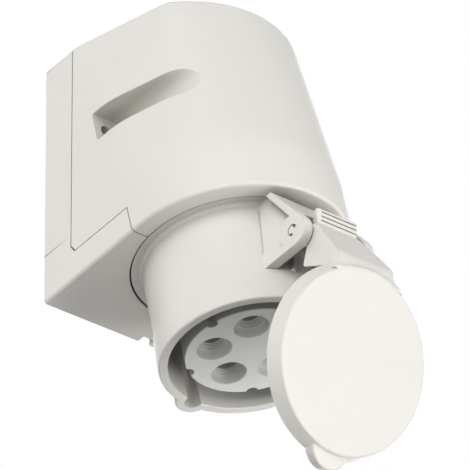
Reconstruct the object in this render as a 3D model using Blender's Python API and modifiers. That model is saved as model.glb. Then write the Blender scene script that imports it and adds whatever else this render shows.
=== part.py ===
"""Industrial wall socket: a round five-pole outlet with a hinged lid on a wall housing.

+Z is up. The wall is the plane Y = 0, the socket stands in front of it at Y < 0, and X runs
to the right for someone who faces the wall. The origin is the middle of the wall face.

Most pieces are drawn in the outlet frame, which leans out from the wall with the outlet's
axis: x is the same as X, y runs from the axis to the front, z runs out of the mouth, and
z = 0 is the underside of the housing. A "level" below is a position along that z.
"""

import math

import bmesh
import bpy

MM = 0.001

# Overall sizes and the lean of the outlet
HOUSING_WIDTH = 84.0 * MM
HALF_WIDTH = HOUSING_WIDTH / 2
WALL_FACE_HEIGHT = 88.5 * MM
AXIS_MARGIN = 5.8 * MM
AXIS_STAND_OFF = HALF_WIDTH + AXIS_MARGIN
OUTLET_TILT = math.radians(15.0)
SIN_TILT = math.sin(OUTLET_TILT)
COS_TILT = math.cos(OUTLET_TILT)
HOUSING_LENGTH = WALL_FACE_HEIGHT * COS_TILT
MOUTH_Z = AXIS_STAND_OFF * math.tan(OUTLET_TILT) - WALL_FACE_HEIGHT / 2

# Housing shell
WALL = 2.6 * MM
BACK_PLATE = 2.6 * MM
RUNNING_GAP = 0.3 * MM
BAND_HEIGHT = 19.0 * MM
BAND_BLEND = 5.0 * MM
TOP_VERTEX_Y = -11.3 * MM
TOP_TAPER = math.radians(18.4)
TOP_FLANK_TURN = math.radians(1.2)
TOP_SIDE_BLEND = 20.0 * MM
TOP_CORNER_RADIUS = 8.0 * MM
TOP_FRONT_FLATNESS = 6.0 * MM
TOP_FRONT_RADIUS = HALF_WIDTH + TOP_FRONT_FLATNESS
TOP_FRONT_SET_BACK = 8.3 * MM
TOP_FRONT_Y = HALF_WIDTH - TOP_FRONT_SET_BACK
BOTTOM_EDGE_RADIUS = 1.3 * MM
TOP_EDGE_RADIUS = 1.6 * MM
BACK_EDGE_RADIUS = 1.3 * MM
MOUTH_LEDGE = 7.0 * MM
MOUTH_RADIUS = HALF_WIDTH - MOUTH_LEDGE

# Joint between the back box and the front cover
SEAM_DEPTH = 13.0 * MM
SEAM_STRIP_HEIGHT = 9.8 * MM
SEAM_STRIP_END_Y = -4.5 * MM
SEAM_HOOK = 2.7 * MM

# Screw channel on each side of the cover
CHANNEL_START_Y = -11.0 * MM
CHANNEL_LEVEL = -49.2 * MM
CHANNEL_HEIGHT = 11.0 * MM
CHANNEL_DEPTH_X = 13.7 * MM
COVER_SCREW_INSET = 5.9 * MM
COVER_SCREW_LEVEL = -49.5 * MM
SCREW_HEAD_RADIUS = 2.3 * MM
SCREW_HEAD_HEIGHT = 1.8 * MM
SCREW_SHANK_RADIUS = 1.6 * MM
SCREW_END_DEPTH = 5.5 * MM
SCREW_SUNK = 4.0 * MM
SCREW_SLOT = 0.7 * MM
BOSS_WALL = 1.9 * MM

# Back plate
FIXING_HOLE_RADIUS = 2.6 * MM
FIXING_INSET_X = 13.0 * MM
FIXING_INSET_Z = 10.25 * MM
FIXING_SPACING_X = HOUSING_WIDTH - 2 * FIXING_INSET_X
FIXING_SPACING_Z = WALL_FACE_HEIGHT - 2 * FIXING_INSET_Z
NOTCH_X = 3.75 * MM
NOTCH_WIDTH = 4.9 * MM
NOTCH_HEIGHT = 2.7 * MM
GROMMET_DROP = 23.25 * MM
GROMMET_Z = WALL_FACE_HEIGHT / 2 - GROMMET_DROP
GROMMET_RADIUS = 9.7 * MM
GROMMET_LIP = 2.6 * MM
GROMMET_LIP_THICKNESS = 1.5 * MM
MEMBRANE = 1.2 * MM

# Collar, whose radii follow from the mouth and whose levels follow from its rim
COLLAR_LENGTH = 40.4 * MM
ROOT_GROOVE = 4.1 * MM
RING_SWELL = 0.6 * MM
RIM_SWELL = 0.8 * MM
COLLAR_WALL = 1.9 * MM
COLLAR_ROOT_RADIUS = MOUTH_RADIUS - ROOT_GROOVE
COLLAR_RING_RADIUS = COLLAR_ROOT_RADIUS + RING_SWELL
COLLAR_RIM_RADIUS = COLLAR_RING_RADIUS + RIM_SWELL
COLLAR_BORE = COLLAR_ROOT_RADIUS - COLLAR_WALL
RING_DROP = 12.7 * MM
RING_STEP = 0.6 * MM
COLLAR_RING_LEVEL = COLLAR_LENGTH - RING_DROP
RIM_ROUND = 0.9 * MM
SHOULDER_PLAY = 0.6 * MM
SHOULDER_DROP = 0.4 * MM
SHOULDER_RADIUS = MOUTH_RADIUS - SHOULDER_PLAY
SEAL_THICKNESS = 1.5 * MM
SEAL_WIDTH = 2.6 * MM
SEAL_LEVEL = -WALL - RUNNING_GAP
FLANGE_OVERLAP = 3.4 * MM
FLANGE_RADIUS = MOUTH_RADIUS + FLANGE_OVERLAP
FLANGE_THICKNESS = 2.7 * MM
FLANGE_LEVEL = SEAL_LEVEL - SEAL_THICKNESS - RUNNING_GAP
COLLAR_BASE = FLANGE_LEVEL - FLANGE_THICKNESS
LEDGE_REACH = 2.4 * MM
LEDGE_RADIUS = COLLAR_BORE - LEDGE_REACH
JOIN_DEPTH = 0.8 * MM

# Keyway in the collar's wall side
KEY_X = -0.8 * MM
KEY_Y = -COLLAR_BORE
KEY_BUMP_RADIUS = 6.5 * MM
KEY_BUMP_SET_BACK = 0.1 * MM
KEY_WALL = 2.9 * MM
KEY_SLOT_RADIUS = 3.2 * MM
KEY_FLOOR = 2.0 * MM

# Hinge bracket
HINGE_REACH = 10.1 * MM
HINGE_DROP = 18.2 * MM
PIN_Y = COLLAR_RIM_RADIUS + HINGE_REACH
PIN_LEVEL = COLLAR_LENGTH - HINGE_DROP
PIN_RADIUS = 1.9 * MM
HINGE_PLAY = 0.3 * MM
EAR_OUTER_X = 16.2 * MM
EAR_THICKNESS = 4.1 * MM
EAR_INNER_X = EAR_OUTER_X - EAR_THICKNESS
EAR_TOP_LEVEL = 2.0 * MM
EAR_TOP_SET_BACK = 5.6 * MM
EAR_TOP_Y = PIN_Y - EAR_TOP_SET_BACK
BOSS_RADIUS = 5.8 * MM
BRIDGE_THICKNESS = 1.85 * MM
EAR_BORDER = 2.0 * MM
STOP_MARGIN = math.radians(6.0)

# Web of an ear, a plane that slants from the boss to the housing and to the barrel
WEB_THICKNESS = 1.3 * MM
WEB_FACE_OFFSET = 0.55 * MM
WEB_SLOPE_LEVEL = 0.09
WEB_SLOPE_Y = 0.174
WEB_OVERLAP = 0.5 * MM
WEB_TOP_SET_BACK = 0.3 * MM
WEB_FLOOR_DROP = 7.4 * MM
WEB_BOSS_TURN = math.radians(15.0)
WEB_BOSS_END = math.radians(-215.0)

# Contact insert and contacts
PLUG_RING_GAP = 6.1 * MM
INSERT_RADIUS = COLLAR_BORE - PLUG_RING_GAP
INSERT_DRAFT = 0.5 * MM
INSERT_EDGE = 0.4 * MM
INSERT_SET_BACK = 2.1 * MM
INSERT_FACE_LEVEL = COLLAR_LENGTH - INSERT_SET_BACK
INSERT_FLANGE_PLAY = 0.4 * MM
INSERT_FLANGE_THICKNESS = 3.0 * MM
INSERT_TAIL = 14.0 * MM
POLES = ("earth", "l1", "l2", "l3", "neutral")
PITCH_SHARE = 0.585
PITCH_RADIUS = INSERT_RADIUS * PITCH_SHARE
EARTH_TURN = math.radians(6.5)
WELL_SHARE = 0.448
WELL_RADIUS = PITCH_RADIUS * WELL_SHARE
WELL_DEPTH = 5.2 * MM
WELL_HOLE_SHARE = 0.57
EARTH_HOLE_SHARE = 0.7
NOTCH_RADIUS = 2.1 * MM
NOTCH_DEPTH = 6.0 * MM
SLEEVE_WALL = 0.6 * MM
SLEEVE_SET_BACK = 2.5 * MM
SLEEVE_BORE_DEPTH = 30.0 * MM
TERMINAL_RADIUS = 4.8 * MM
TERMINAL_LENGTH = 7.0 * MM
TERMINAL_SCREW_RADIUS = 1.4 * MM
TERMINAL_SCREW_LENGTH = 4.5 * MM
TERMINAL_HEAD_RADIUS = 2.2 * MM
TERMINAL_HEAD_HEIGHT = 1.4 * MM
WIRE_HOLE_RADIUS = 1.5 * MM
WIRE_HOLE_SHARE = 0.8
LOCK_RING_OVERLAP = 1.5 * MM
LOCK_RING_RADIUS = COLLAR_BORE + LOCK_RING_OVERLAP
LOCK_RING_THICKNESS = 2.6 * MM

# Lid, drawn closed and then swung open about the pin
LID_OPEN = math.radians(59.0)
LID_OVERTRAVEL = math.radians(5.0)
LID_RISE = 7.0 * MM
LID_FACE_LEVEL = COLLAR_LENGTH + LID_RISE
LID_OVERHANG = 0.9 * MM
LID_RIM_RADIUS = COLLAR_RIM_RADIUS + LID_OVERHANG
LID_DRAFT = 1.8 * MM
LID_FACE_RADIUS = LID_RIM_RADIUS - LID_DRAFT
LID_HEIGHT = 6.4 * MM
LID_RIM_LEVEL = LID_FACE_LEVEL - LID_HEIGHT
LID_SKIN = 2.4 * MM
LID_SKIRT = 1.9 * MM
LID_BORE = LID_RIM_RADIUS - LID_SKIRT
LID_EDGE = 0.5 * MM
LID_LUG_REACH = 1.9 * MM
LID_LUG_DROP = 1.8 * MM
GASKET_OVERLAP = 0.7 * MM
GASKET_INNER_RADIUS = COLLAR_BORE - GASKET_OVERLAP

# Neck of the lid, between its knuckle and its disc
NECK_PLAY = 0.4 * MM
NECK_HALF_WIDTH = EAR_INNER_X - NECK_PLAY
NECK_TAPER = 2.6 * MM
NECK_FRONT_HALF_WIDTH = NECK_HALF_WIDTH - NECK_TAPER
NECK_FLARE = 3.8 * MM
NECK_FLARE_HALF_WIDTH = NECK_HALF_WIDTH + NECK_FLARE
NECK_START_DROP = 3.7 * MM
NECK_START_LEVEL = PIN_LEVEL + NECK_START_DROP
NECK_START_REACH = 4.8 * MM
NECK_START_Y = PIN_Y + NECK_START_REACH
NECK_EDGE = 0.8 * MM
NECK_FLARE_DROP = 2.6 * MM
NECK_FLARE_REACH = 0.7 * MM
NECK_END_DROP = 0.5 * MM
NECK_END_SET_BACK = 1.9 * MM
NECK_SINK = 5.0 * MM
KNUCKLE_RADIUS = 3.6 * MM

# Thumb tab of the lid
TAB_REACH = 9.7 * MM
TAB_FALL = 2.5 * MM
TAB_THICKNESS = 2.6 * MM
TAB_CREST = 1.3 * MM
TAB_UNDERCUT = 0.4 * MM
TAB_GROOVES = 3
TAB_GROOVE_WIDTH = 0.55 * MM

SMOOTH_ANGLE = math.radians(32.0)
MERGE = 0.00001


def clear_scene():
    """Remove what the scene holds at the start."""
    for old in list(bpy.data.objects):
        bpy.data.objects.remove(old)


def new_collection(name):
    """Add a collection to the scene."""
    collection = bpy.data.collections.new(name)
    bpy.context.scene.collection.children.link(collection)
    return collection


def new_material(name, colour, roughness, metallic=0.0):
    """Make a Principled material from a linear colour."""
    made = bpy.data.materials.new(name)
    made.use_nodes = True
    shader = made.node_tree.nodes["Principled BSDF"]
    shader.inputs["Base Color"].default_value = (*colour, 1.0)
    shader.inputs["Roughness"].default_value = roughness
    shader.inputs["Metallic"].default_value = metallic
    return made


def new_empty(name, parent, location, rotation=(0.0, 0.0, 0.0)):
    """Add an empty that carries the pieces of one frame."""
    empty = bpy.data.objects.new(name, None)
    bpy.data.collections["industrial_wall_socket"].objects.link(empty)
    empty.parent = parent
    empty.location = location
    empty.rotation_euler = rotation
    return empty


def new_object(name, mesh, parent, location=(0.0, 0.0, 0.0), rotation=(0.0, 0.0, 0.0)):
    """Add a mesh object: a part if it gets a material later, else a helper."""
    made = bpy.data.objects.new(name, mesh)
    bpy.data.collections["cutters"].objects.link(made)
    made.parent = parent
    made.location = location
    made.rotation_euler = rotation
    made.hide_render = True
    made.display_type = "WIRE"
    return made


def finish_part(part, material):
    """Turn a drawn object into a visible part with its material."""
    bpy.data.collections["cutters"].objects.unlink(part)
    bpy.data.collections["industrial_wall_socket"].objects.link(part)
    part.hide_render = False
    part.display_type = "TEXTURED"
    part.data.materials.append(material)
    part.data.shade_smooth()
    part.data.set_sharp_from_angle(angle=SMOOTH_ANGLE)


def mesh_of(name, bm):
    """Store a bmesh as a mesh with its faces pointing out."""
    bmesh.ops.recalc_face_normals(bm, faces=bm.faces)
    mesh = bpy.data.meshes.new(name)
    bm.to_mesh(mesh)
    bm.free()
    return mesh


def boolean(target, operation, *tools):
    """Cut, join or intersect a target with its tools, one modifier each."""
    for tool in tools:
        modifier = target.modifiers.new(f"{operation.lower()} {tool.name}", "BOOLEAN")
        modifier.operation = operation
        modifier.object = tool
        modifier.solver = "EXACT"


def turned(name, profile, parent, steps=48, location=(0.0, 0.0, 0.0),
           rotation=(0.0, 0.0, 0.0)):
    """Turn a profile of (radius, level) points about z.

    The profile runs down its outer side. It is a solid if it starts and ends on the axis,
    and a ring if it doesn't, where its last point joins its first.
    """
    bm = bmesh.new()
    points = [bm.verts.new((radius, 0.0, level)) for radius, level in profile]
    for start, end in zip(points, points[1:]):
        bm.edges.new((start, end))
    if profile[0][0] > 0.0:
        bm.edges.new((points[-1], points[0]))
    mesh = bpy.data.meshes.new(name)
    bm.to_mesh(mesh)
    bm.free()
    made = new_object(name, mesh, parent, location, rotation)
    screw = made.modifiers.new("turn", "SCREW")
    screw.axis = "Z"
    screw.steps = steps
    screw.render_steps = steps
    screw.use_merge_vertices = True
    screw.merge_threshold = MERGE
    screw.use_smooth_shade = True
    return made


def rod(name, radius, length, parent, location, rotation=(0.0, 0.0, 0.0), sides=24):
    """A cylinder, centred, along its own z."""
    bm = bmesh.new()
    bmesh.ops.create_cone(bm, cap_ends=True, segments=sides, radius1=radius,
                          radius2=radius, depth=length)
    return new_object(name, mesh_of(name, bm), parent, location, rotation)


def block(name, size, parent, location, rotation=(0.0, 0.0, 0.0)):
    """A box, centred."""
    bm = bmesh.new()
    bmesh.ops.create_cube(bm, size=1.0)
    bmesh.ops.scale(bm, vec=size, verts=bm.verts)
    return new_object(name, mesh_of(name, bm), parent, location, rotation)


def cut_sheet(name, outline, thickness, parent, location=(0.0, 0.0, 0.0),
              rotation=(0.0, 0.0, 0.0)):
    """A flat outline given a thickness, centred on its own plane."""
    curve = bpy.data.curves.new(name, "CURVE")
    curve.dimensions = "2D"
    curve.fill_mode = "BOTH"
    curve.extrude = thickness / 2
    spline = curve.splines.new("POLY")
    spline.points.add(len(outline) - 1)
    for point, (across, up) in zip(spline.points, outline):
        point.co = (across, up, 0.0, 1.0)
    spline.use_cyclic_u = True
    guide = bpy.data.objects.new(name + "_outline", curve)
    bpy.data.collections["cutters"].objects.link(guide)
    graph = bpy.context.evaluated_depsgraph_get()
    mesh = bpy.data.meshes.new_from_object(guide.evaluated_get(graph))
    bpy.data.objects.remove(guide)
    bm = bmesh.new()
    bm.from_mesh(mesh)
    bmesh.ops.remove_doubles(bm, verts=bm.verts, dist=MERGE)
    bmesh.ops.recalc_face_normals(bm, faces=bm.faces)
    bm.to_mesh(mesh)
    bm.free()
    return new_object(name, mesh, parent, location, rotation)


# Turns a sheet drawn in (y, z) so that its thickness runs along x
ACROSS_X = (math.pi / 2, 0.0, math.pi / 2)
# Turns a sheet drawn in (x, z), or a turned piece, so that it runs along y
ALONG_Y = (math.pi / 2, 0.0, 0.0)


def loft(name, loops, parent):
    """Skin a row of closed loops that have the same number of points."""
    bm = bmesh.new()
    rings = [[bm.verts.new(point) for point in loop] for loop in loops]
    for lower, upper in zip(rings, rings[1:]):
        for index, corner in enumerate(lower):
            after = (index + 1) % len(lower)
            bm.faces.new((corner, lower[after], upper[after], upper[index]))
    bm.faces.new(rings[0])
    bm.faces.new(rings[-1])
    bmesh.ops.triangulate(bm, faces=[face for face in bm.faces if len(face.verts) == 4])
    return new_object(name, mesh_of(name, bm), parent)


def arc(centre, radius, start, end, count):
    """Points on an arc, its angles in radians, both ends included."""
    return [
        (
            centre[0] + radius * math.cos(start + (end - start) * step / count),
            centre[1] + radius * math.sin(start + (end - start) * step / count),
        )
        for step in range(count + 1)
    ]


def wall_plane_y(level, depth=0.0):
    """The y, at a level, of the plane that lies this deep in front of the wall."""
    return (depth - AXIS_STAND_OFF - level * SIN_TILT) / COS_TILT


class TopSection:
    """The housing's top outline: sides, converging flanks, corners and a bowed front.

    Each point is found from the direction that the outline faces there, so that it pairs
    with the point of the round lower outline that faces the same way.
    """

    def __init__(self):
        along = (-math.sin(TOP_TAPER), math.cos(TOP_TAPER))
        facing = (math.cos(TOP_TAPER), math.sin(TOP_TAPER))
        inset = HALF_WIDTH * facing[0] + TOP_VERTEX_Y * facing[1] - TOP_CORNER_RADIUS
        self.front_centre = (0.0, TOP_FRONT_Y - TOP_FRONT_RADIUS)
        offset = (inset * facing[0], inset * facing[1] - self.front_centre[1])
        run = offset[0] * along[0] + offset[1] * along[1]
        reach = TOP_FRONT_RADIUS - TOP_CORNER_RADIUS
        travel = -run + math.sqrt(run**2 - offset[0]**2 - offset[1]**2 + reach**2)
        self.corner_centre = (
            inset * facing[0] + travel * along[0],
            inset * facing[1] + travel * along[1],
        )
        self.corner_end = math.atan2(
            self.corner_centre[1] - self.front_centre[1], self.corner_centre[0]
        )
        self.side_centre = (
            HALF_WIDTH - TOP_SIDE_BLEND,
            TOP_VERTEX_Y - TOP_SIDE_BLEND * math.tan(TOP_TAPER / 2),
        )

    def facings(self):
        """The directions at which both outlines are sampled, from side to front."""
        flank = TOP_FLANK_TURN
        side = [TOP_TAPER * share for share in (0.0, 0.33, 0.66)]
        flanks = [TOP_TAPER - flank, TOP_TAPER, TOP_TAPER + flank]
        corner_steps = 6
        front_steps = 5
        turn = self.corner_end - flanks[-1]
        rest = math.pi / 2 - self.corner_end
        corner = [flanks[-1] + turn * (i + 1) / corner_steps for i in range(corner_steps)]
        front = [self.corner_end + rest * (i + 1) / front_steps for i in range(front_steps)]
        return side + flanks + corner + front

    def point(self, facing):
        """The outline's point that faces this way."""
        flank = TOP_FLANK_TURN
        if facing <= TOP_TAPER - flank:
            centre, radius, turn = self.side_centre, TOP_SIDE_BLEND, facing
        elif facing >= self.corner_end:
            centre, radius, turn = self.front_centre, TOP_FRONT_RADIUS, facing
        elif facing >= TOP_TAPER + flank:
            centre, radius, turn = self.corner_centre, TOP_CORNER_RADIUS, facing
        else:
            share = (facing - TOP_TAPER + flank) / (2 * flank)
            start = on_circle(self.side_centre, TOP_SIDE_BLEND, TOP_TAPER)
            end = on_circle(self.corner_centre, TOP_CORNER_RADIUS, TOP_TAPER)
            return mix(start, end, share)
        return on_circle(centre, radius, turn)


def on_circle(centre, radius, turn):
    """The point of a circle at an angle."""
    return (centre[0] + radius * math.cos(turn), centre[1] + radius * math.sin(turn))


def mix(start, end, share):
    """The point that lies this share of the way from start to end."""
    return tuple(a + (b - a) * share for a, b in zip(start, end))


def loft_share(level):
    """How far, from 0 to 1, a level is from the round band to the top outline."""
    depth = -level - BAND_HEIGHT
    half = BAND_BLEND / 2
    if depth <= -half:
        eased = 0.0
    elif depth < half:
        eased = (depth + half) ** 2 / (2 * BAND_BLEND)
    else:
        eased = depth
    return eased / (HOUSING_LENGTH - BAND_HEIGHT)


def housing_loop(top, level, inset, back_depth):
    """One outline of the housing, drawn in by an inset except at its back."""
    share = loft_share(level)
    radius = BACK_EDGE_RADIUS
    corner = (HALF_WIDTH - inset - radius, wall_plane_y(level, back_depth) + radius)
    half = arc(corner, radius, -math.pi / 2, 0.0, 3)
    for facing in top.facings():
        low = on_circle((0.0, 0.0), HALF_WIDTH, facing)
        across, front = mix(low, top.point(facing), share)
        half.append((across - inset * math.cos(facing), front - inset * math.sin(facing)))
    half[-1] = (0.0, half[-1][1])
    mirrored = [(-across, front) for across, front in reversed(half[:-1])]
    return [(across, front, level) for across, front in half + mirrored]


def rounded_ends(radius, count=3):
    """(depth, inset) pairs of a rounded edge, from its flat face to its side."""
    return [
        (radius - radius * math.sin(turn), radius - radius * math.cos(turn))
        for turn in (math.pi / 2 * (count - step) / count for step in range(count + 1))
    ]


def housing_form(top, frame):
    """The outer form of the closed housing."""
    rows = [(-depth, inset) for depth, inset in rounded_ends(BOTTOM_EDGE_RADIUS)]
    half = BAND_BLEND / 2
    rows += [(-BAND_HEIGHT + half * share, 0.0) for share in (1.0, 0.4, 0.0, -0.4, -1.0)]
    start, end = BAND_HEIGHT + half, HOUSING_LENGTH - TOP_EDGE_RADIUS
    rows += [(-start - (end - start) * step / 5, 0.0) for step in range(1, 5)]
    rows += [
        (depth - HOUSING_LENGTH, inset)
        for depth, inset in reversed(rounded_ends(TOP_EDGE_RADIUS))
    ]
    loops = [housing_loop(top, level, inset, 0.0) for level, inset in rows]
    return loft("housing_form", loops, frame)


def cavity_form(top, frame):
    """The hollow of the housing, less the skin of the screw channels and their bosses."""
    levels = [-WALL, -BAND_HEIGHT + BAND_BLEND / 2, -BAND_HEIGHT, -BAND_HEIGHT - BAND_BLEND]
    start, end = -levels[-1], HOUSING_LENGTH - WALL
    levels += [-start - (end - start) * step / 4 for step in range(1, 5)]
    loops = [housing_loop(top, level, WALL, BACK_PLATE) for level in levels]
    hollow = loft("cavity_form", loops, frame)
    for side in (-1, 1):
        skin = screw_channel(f"channel_skin_{side}", side, WALL, frame)
        boss = screw_boss(f"screw_boss_{side}", side, frame)
        boolean(hollow, "DIFFERENCE", skin, boss)
    return hollow


def screw_channel(name, side, grow, frame):
    """The channel that a screwdriver reaches a cover screw through, grown for its skin."""
    radius = CHANNEL_HEIGHT / 2 + grow
    inner = HALF_WIDTH - CHANNEL_DEPTH_X + CHANNEL_HEIGHT / 2
    outer = HALF_WIDTH + 2 * WALL
    top = math.pi / 2
    bend = arc((side * inner, CHANNEL_LEVEL), radius, top, top + side * math.pi, 10)
    outline = [(side * outer, CHANNEL_LEVEL + radius), *bend]
    outline.append((side * outer, CHANNEL_LEVEL - radius))
    start = CHANNEL_START_Y - grow
    end = TOP_FRONT_Y + 2 * WALL
    return cut_sheet(name, outline, end - start, frame, (0.0, (start + end) / 2, 0.0), ALONG_Y)


def screw_axis_x(side):
    """The x of a cover screw."""
    return side * (HALF_WIDTH - COVER_SCREW_INSET)


def screw_boss(name, side, frame):
    """The pillar round a cover screw, from the channel's end to the back plate."""
    back = wall_plane_y(COVER_SCREW_LEVEL, BACK_PLATE / 2)
    length = CHANNEL_START_Y - back
    middle = (CHANNEL_START_Y + back) / 2
    radius = SCREW_HEAD_RADIUS + RUNNING_GAP + BOSS_WALL
    place = (screw_axis_x(side), middle, COVER_SCREW_LEVEL)
    return rod(name, radius, length, frame, place, ALONG_Y)


def screw_seat_y():
    """The y of the face under a cover screw's head."""
    return CHANNEL_START_Y - SCREW_SUNK


def screw_length():
    """The length of a cover screw under its head, which ends just inside the back plate."""
    return screw_seat_y() - wall_plane_y(COVER_SCREW_LEVEL, SCREW_END_DEPTH)


def screw_bore(side, frame):
    """The stepped hole of a cover screw. Its own z runs to the back."""
    head = SCREW_HEAD_RADIUS + RUNNING_GAP
    shank = SCREW_SHANK_RADIUS + RUNNING_GAP
    end = screw_length() + RUNNING_GAP
    profile = [(0.0, end), (shank, end), (shank, RUNNING_GAP), (head, RUNNING_GAP)]
    profile += [(head, -SCREW_SUNK - WALL), (0.0, -SCREW_SUNK - WALL)]
    place = (screw_axis_x(side), screw_seat_y(), COVER_SCREW_LEVEL)
    return turned(f"screw_bore_{side}", profile, frame, 20, place, ALONG_Y)


def seam_outline(gap):
    """The back box's share of the housing in (y, z), grown by a gap."""
    level_top = -HOUSING_LENGTH - 4 * WALL
    strip = -SEAM_STRIP_HEIGHT - gap
    hook = strip - SEAM_HOOK
    below = 4 * WALL
    depth = SEAM_DEPTH + gap
    behind = wall_plane_y(below) - 4 * WALL
    return [
        (behind, level_top),
        (wall_plane_y(level_top, depth), level_top),
        (wall_plane_y(hook, depth), hook),
        (wall_plane_y(hook, depth) + SEAM_HOOK / 2, strip),
        (SEAM_STRIP_END_Y + gap, strip),
        (SEAM_STRIP_END_Y + gap, below),
        (behind, below),
    ]


def build_housing(frame, plastic):
    """The back box and the front cover, split from one shell along the seam."""
    top = TopSection()
    hollow = cavity_form(top, frame)
    mouth = rod("mouth_hole", MOUTH_RADIUS, 4 * WALL, frame, (0.0, 0.0, 0.0), sides=64)
    seam = cut_sheet("seam_back", seam_outline(0.0), 2 * HOUSING_WIDTH, frame, rotation=ACROSS_X)
    seam_gap = cut_sheet("seam_front", seam_outline(RUNNING_GAP), 2 * HOUSING_WIDTH, frame,
                         rotation=ACROSS_X)
    channels = [screw_channel(f"channel_{side}", side, 0.0, frame) for side in (-1, 1)]
    bores = [screw_bore(side, frame) for side in (-1, 1)]

    cover = housing_form(top, frame)
    cover.name = "front_cover"
    boolean(cover, "DIFFERENCE", hollow, mouth, seam_gap, *channels, *bores)
    finish_part(cover, plastic)

    box = housing_form(top, frame)
    box.name = "back_box"
    boolean(box, "DIFFERENCE", hollow, mouth)
    boolean(box, "INTERSECT", seam)
    boolean(box, "DIFFERENCE", *bores, *back_plate_holes())
    finish_part(box, plastic)


def back_plate_holes():
    """The fixing holes, the cable hole and the drain notch, set out on the wall face."""
    reach = 4 * BACK_PLATE
    holes = []
    for side in (-1, 1):
        for end in (-1, 1):
            place = (side * FIXING_SPACING_X / 2, 0.0, end * FIXING_SPACING_Z / 2)
            holes.append(rod(f"fixing_hole_{side}_{end}", FIXING_HOLE_RADIUS, reach, None,
                             place, ALONG_Y, 16))
    holes.append(rod("cable_hole", GROMMET_RADIUS + RUNNING_GAP, reach, None,
                     (0.0, 0.0, GROMMET_Z), ALONG_Y, 32))
    size = (NOTCH_WIDTH, 2 * BACK_PLATE, 2 * NOTCH_HEIGHT)
    holes.append(block("drain_notch", size, None, (NOTCH_X, 0.0, -WALL_FACE_HEIGHT / 2)))
    return holes


def build_cover_screws(frame, steel):
    """The two screws that hold the cover to the back box."""
    for side, name in ((-1, "cover_screw_left"), (1, "cover_screw_right")):
        length = screw_length()
        profile = [
            (0.0, length),
            (SCREW_SHANK_RADIUS, length - SCREW_SHANK_RADIUS),
            (SCREW_SHANK_RADIUS, 0.0),
            (SCREW_HEAD_RADIUS, 0.0),
            (SCREW_HEAD_RADIUS, -SCREW_HEAD_HEIGHT),
            (0.0, -SCREW_HEAD_HEIGHT),
        ]
        place = (screw_axis_x(side), screw_seat_y(), COVER_SCREW_LEVEL)
        screw = turned(name, profile, frame, 16, place, ALONG_Y)
        slot_place = (place[0], place[1] + SCREW_HEAD_HEIGHT, place[2])
        size = (4 * SCREW_HEAD_RADIUS, SCREW_HEAD_HEIGHT, SCREW_SLOT)
        boolean(screw, "DIFFERENCE", block(name + "_slot", size, frame, slot_place))
        finish_part(screw, steel)


def build_grommet(rubber):
    """The plain membrane that closes the cable hole in the back plate. Its z runs to +Y."""
    hole = GROMMET_RADIUS
    lip = hole + GROMMET_LIP
    inner_face = -BACK_PLATE - RUNNING_GAP
    profile = [
        (0.0, -RUNNING_GAP - MEMBRANE / 2),
        (hole - 2 * MEMBRANE, -RUNNING_GAP - MEMBRANE / 2),
        (hole - MEMBRANE, -RUNNING_GAP),
        (hole, -RUNNING_GAP),
        (hole, inner_face),
        (lip, inner_face),
        (lip, inner_face - GROMMET_LIP_THICKNESS),
        (hole - MEMBRANE, inner_face - GROMMET_LIP_THICKNESS),
        (hole - 2 * MEMBRANE, -RUNNING_GAP - 1.5 * MEMBRANE),
        (0.0, -RUNNING_GAP - 1.5 * MEMBRANE),
    ]
    turn = (-math.pi / 2, 0.0, 0.0)
    grommet = turned("cable_grommet", profile, None, 32, (0.0, 0.0, GROMMET_Z), turn)
    finish_part(grommet, rubber)


def collar_profile():
    """The collar's section: rim, barrel with its ring step, shoulder, flange and ledge."""
    ring = COLLAR_RING_LEVEL
    step = RING_STEP
    half_step = RING_STEP / 2
    rim = [
        (COLLAR_RIM_RADIUS + RIM_ROUND * (math.cos(turn) - 1),
         COLLAR_LENGTH + RIM_ROUND * (math.sin(turn) - 1))
        for turn in (math.pi / 2, math.pi / 3, math.pi / 6, 0.0)
    ]
    barrel = [
        (COLLAR_RIM_RADIUS - half_step, ring + 3 * step),
        (COLLAR_RING_RADIUS + half_step, ring + step),
        (COLLAR_RING_RADIUS - half_step, ring),
        (COLLAR_RING_RADIUS, ring - step),
        (COLLAR_ROOT_RADIUS, step),
        (COLLAR_ROOT_RADIUS + step, -SHOULDER_DROP),
    ]
    root = [
        (SHOULDER_RADIUS, -SHOULDER_DROP),
        (SHOULDER_RADIUS, FLANGE_LEVEL),
        (FLANGE_RADIUS, FLANGE_LEVEL),
        (FLANGE_RADIUS, COLLAR_BASE),
        (LEDGE_RADIUS, COLLAR_BASE),
        (LEDGE_RADIUS, 0.0),
        (COLLAR_BORE, 0.0),
        (COLLAR_BORE, COLLAR_LENGTH - RIM_ROUND / 3),
        (COLLAR_BORE + RIM_ROUND / 3, COLLAR_LENGTH),
    ]
    return rim + barrel + root


def key_slot_y():
    """The y of the keyway's centre line, from its wall at the outside of the bump."""
    return KEY_Y - KEY_BUMP_RADIUS + KEY_WALL + KEY_SLOT_RADIUS


def bridge_run():
    """Where the plate over the ears touches the boss circle, and the way it runs."""
    away = (PIN_Y - EAR_TOP_Y, PIN_LEVEL - EAR_TOP_LEVEL)
    distance = math.hypot(*away)
    lean = math.atan2(away[0], away[1]) + math.asin(BOSS_RADIUS / distance)
    run = (math.sin(lean), math.cos(lean))
    facing = (math.cos(lean), -math.sin(lean))
    touch = (PIN_Y + BOSS_RADIUS * facing[0], PIN_LEVEL + BOSS_RADIUS * facing[1])
    return touch, run, facing, lean


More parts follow.
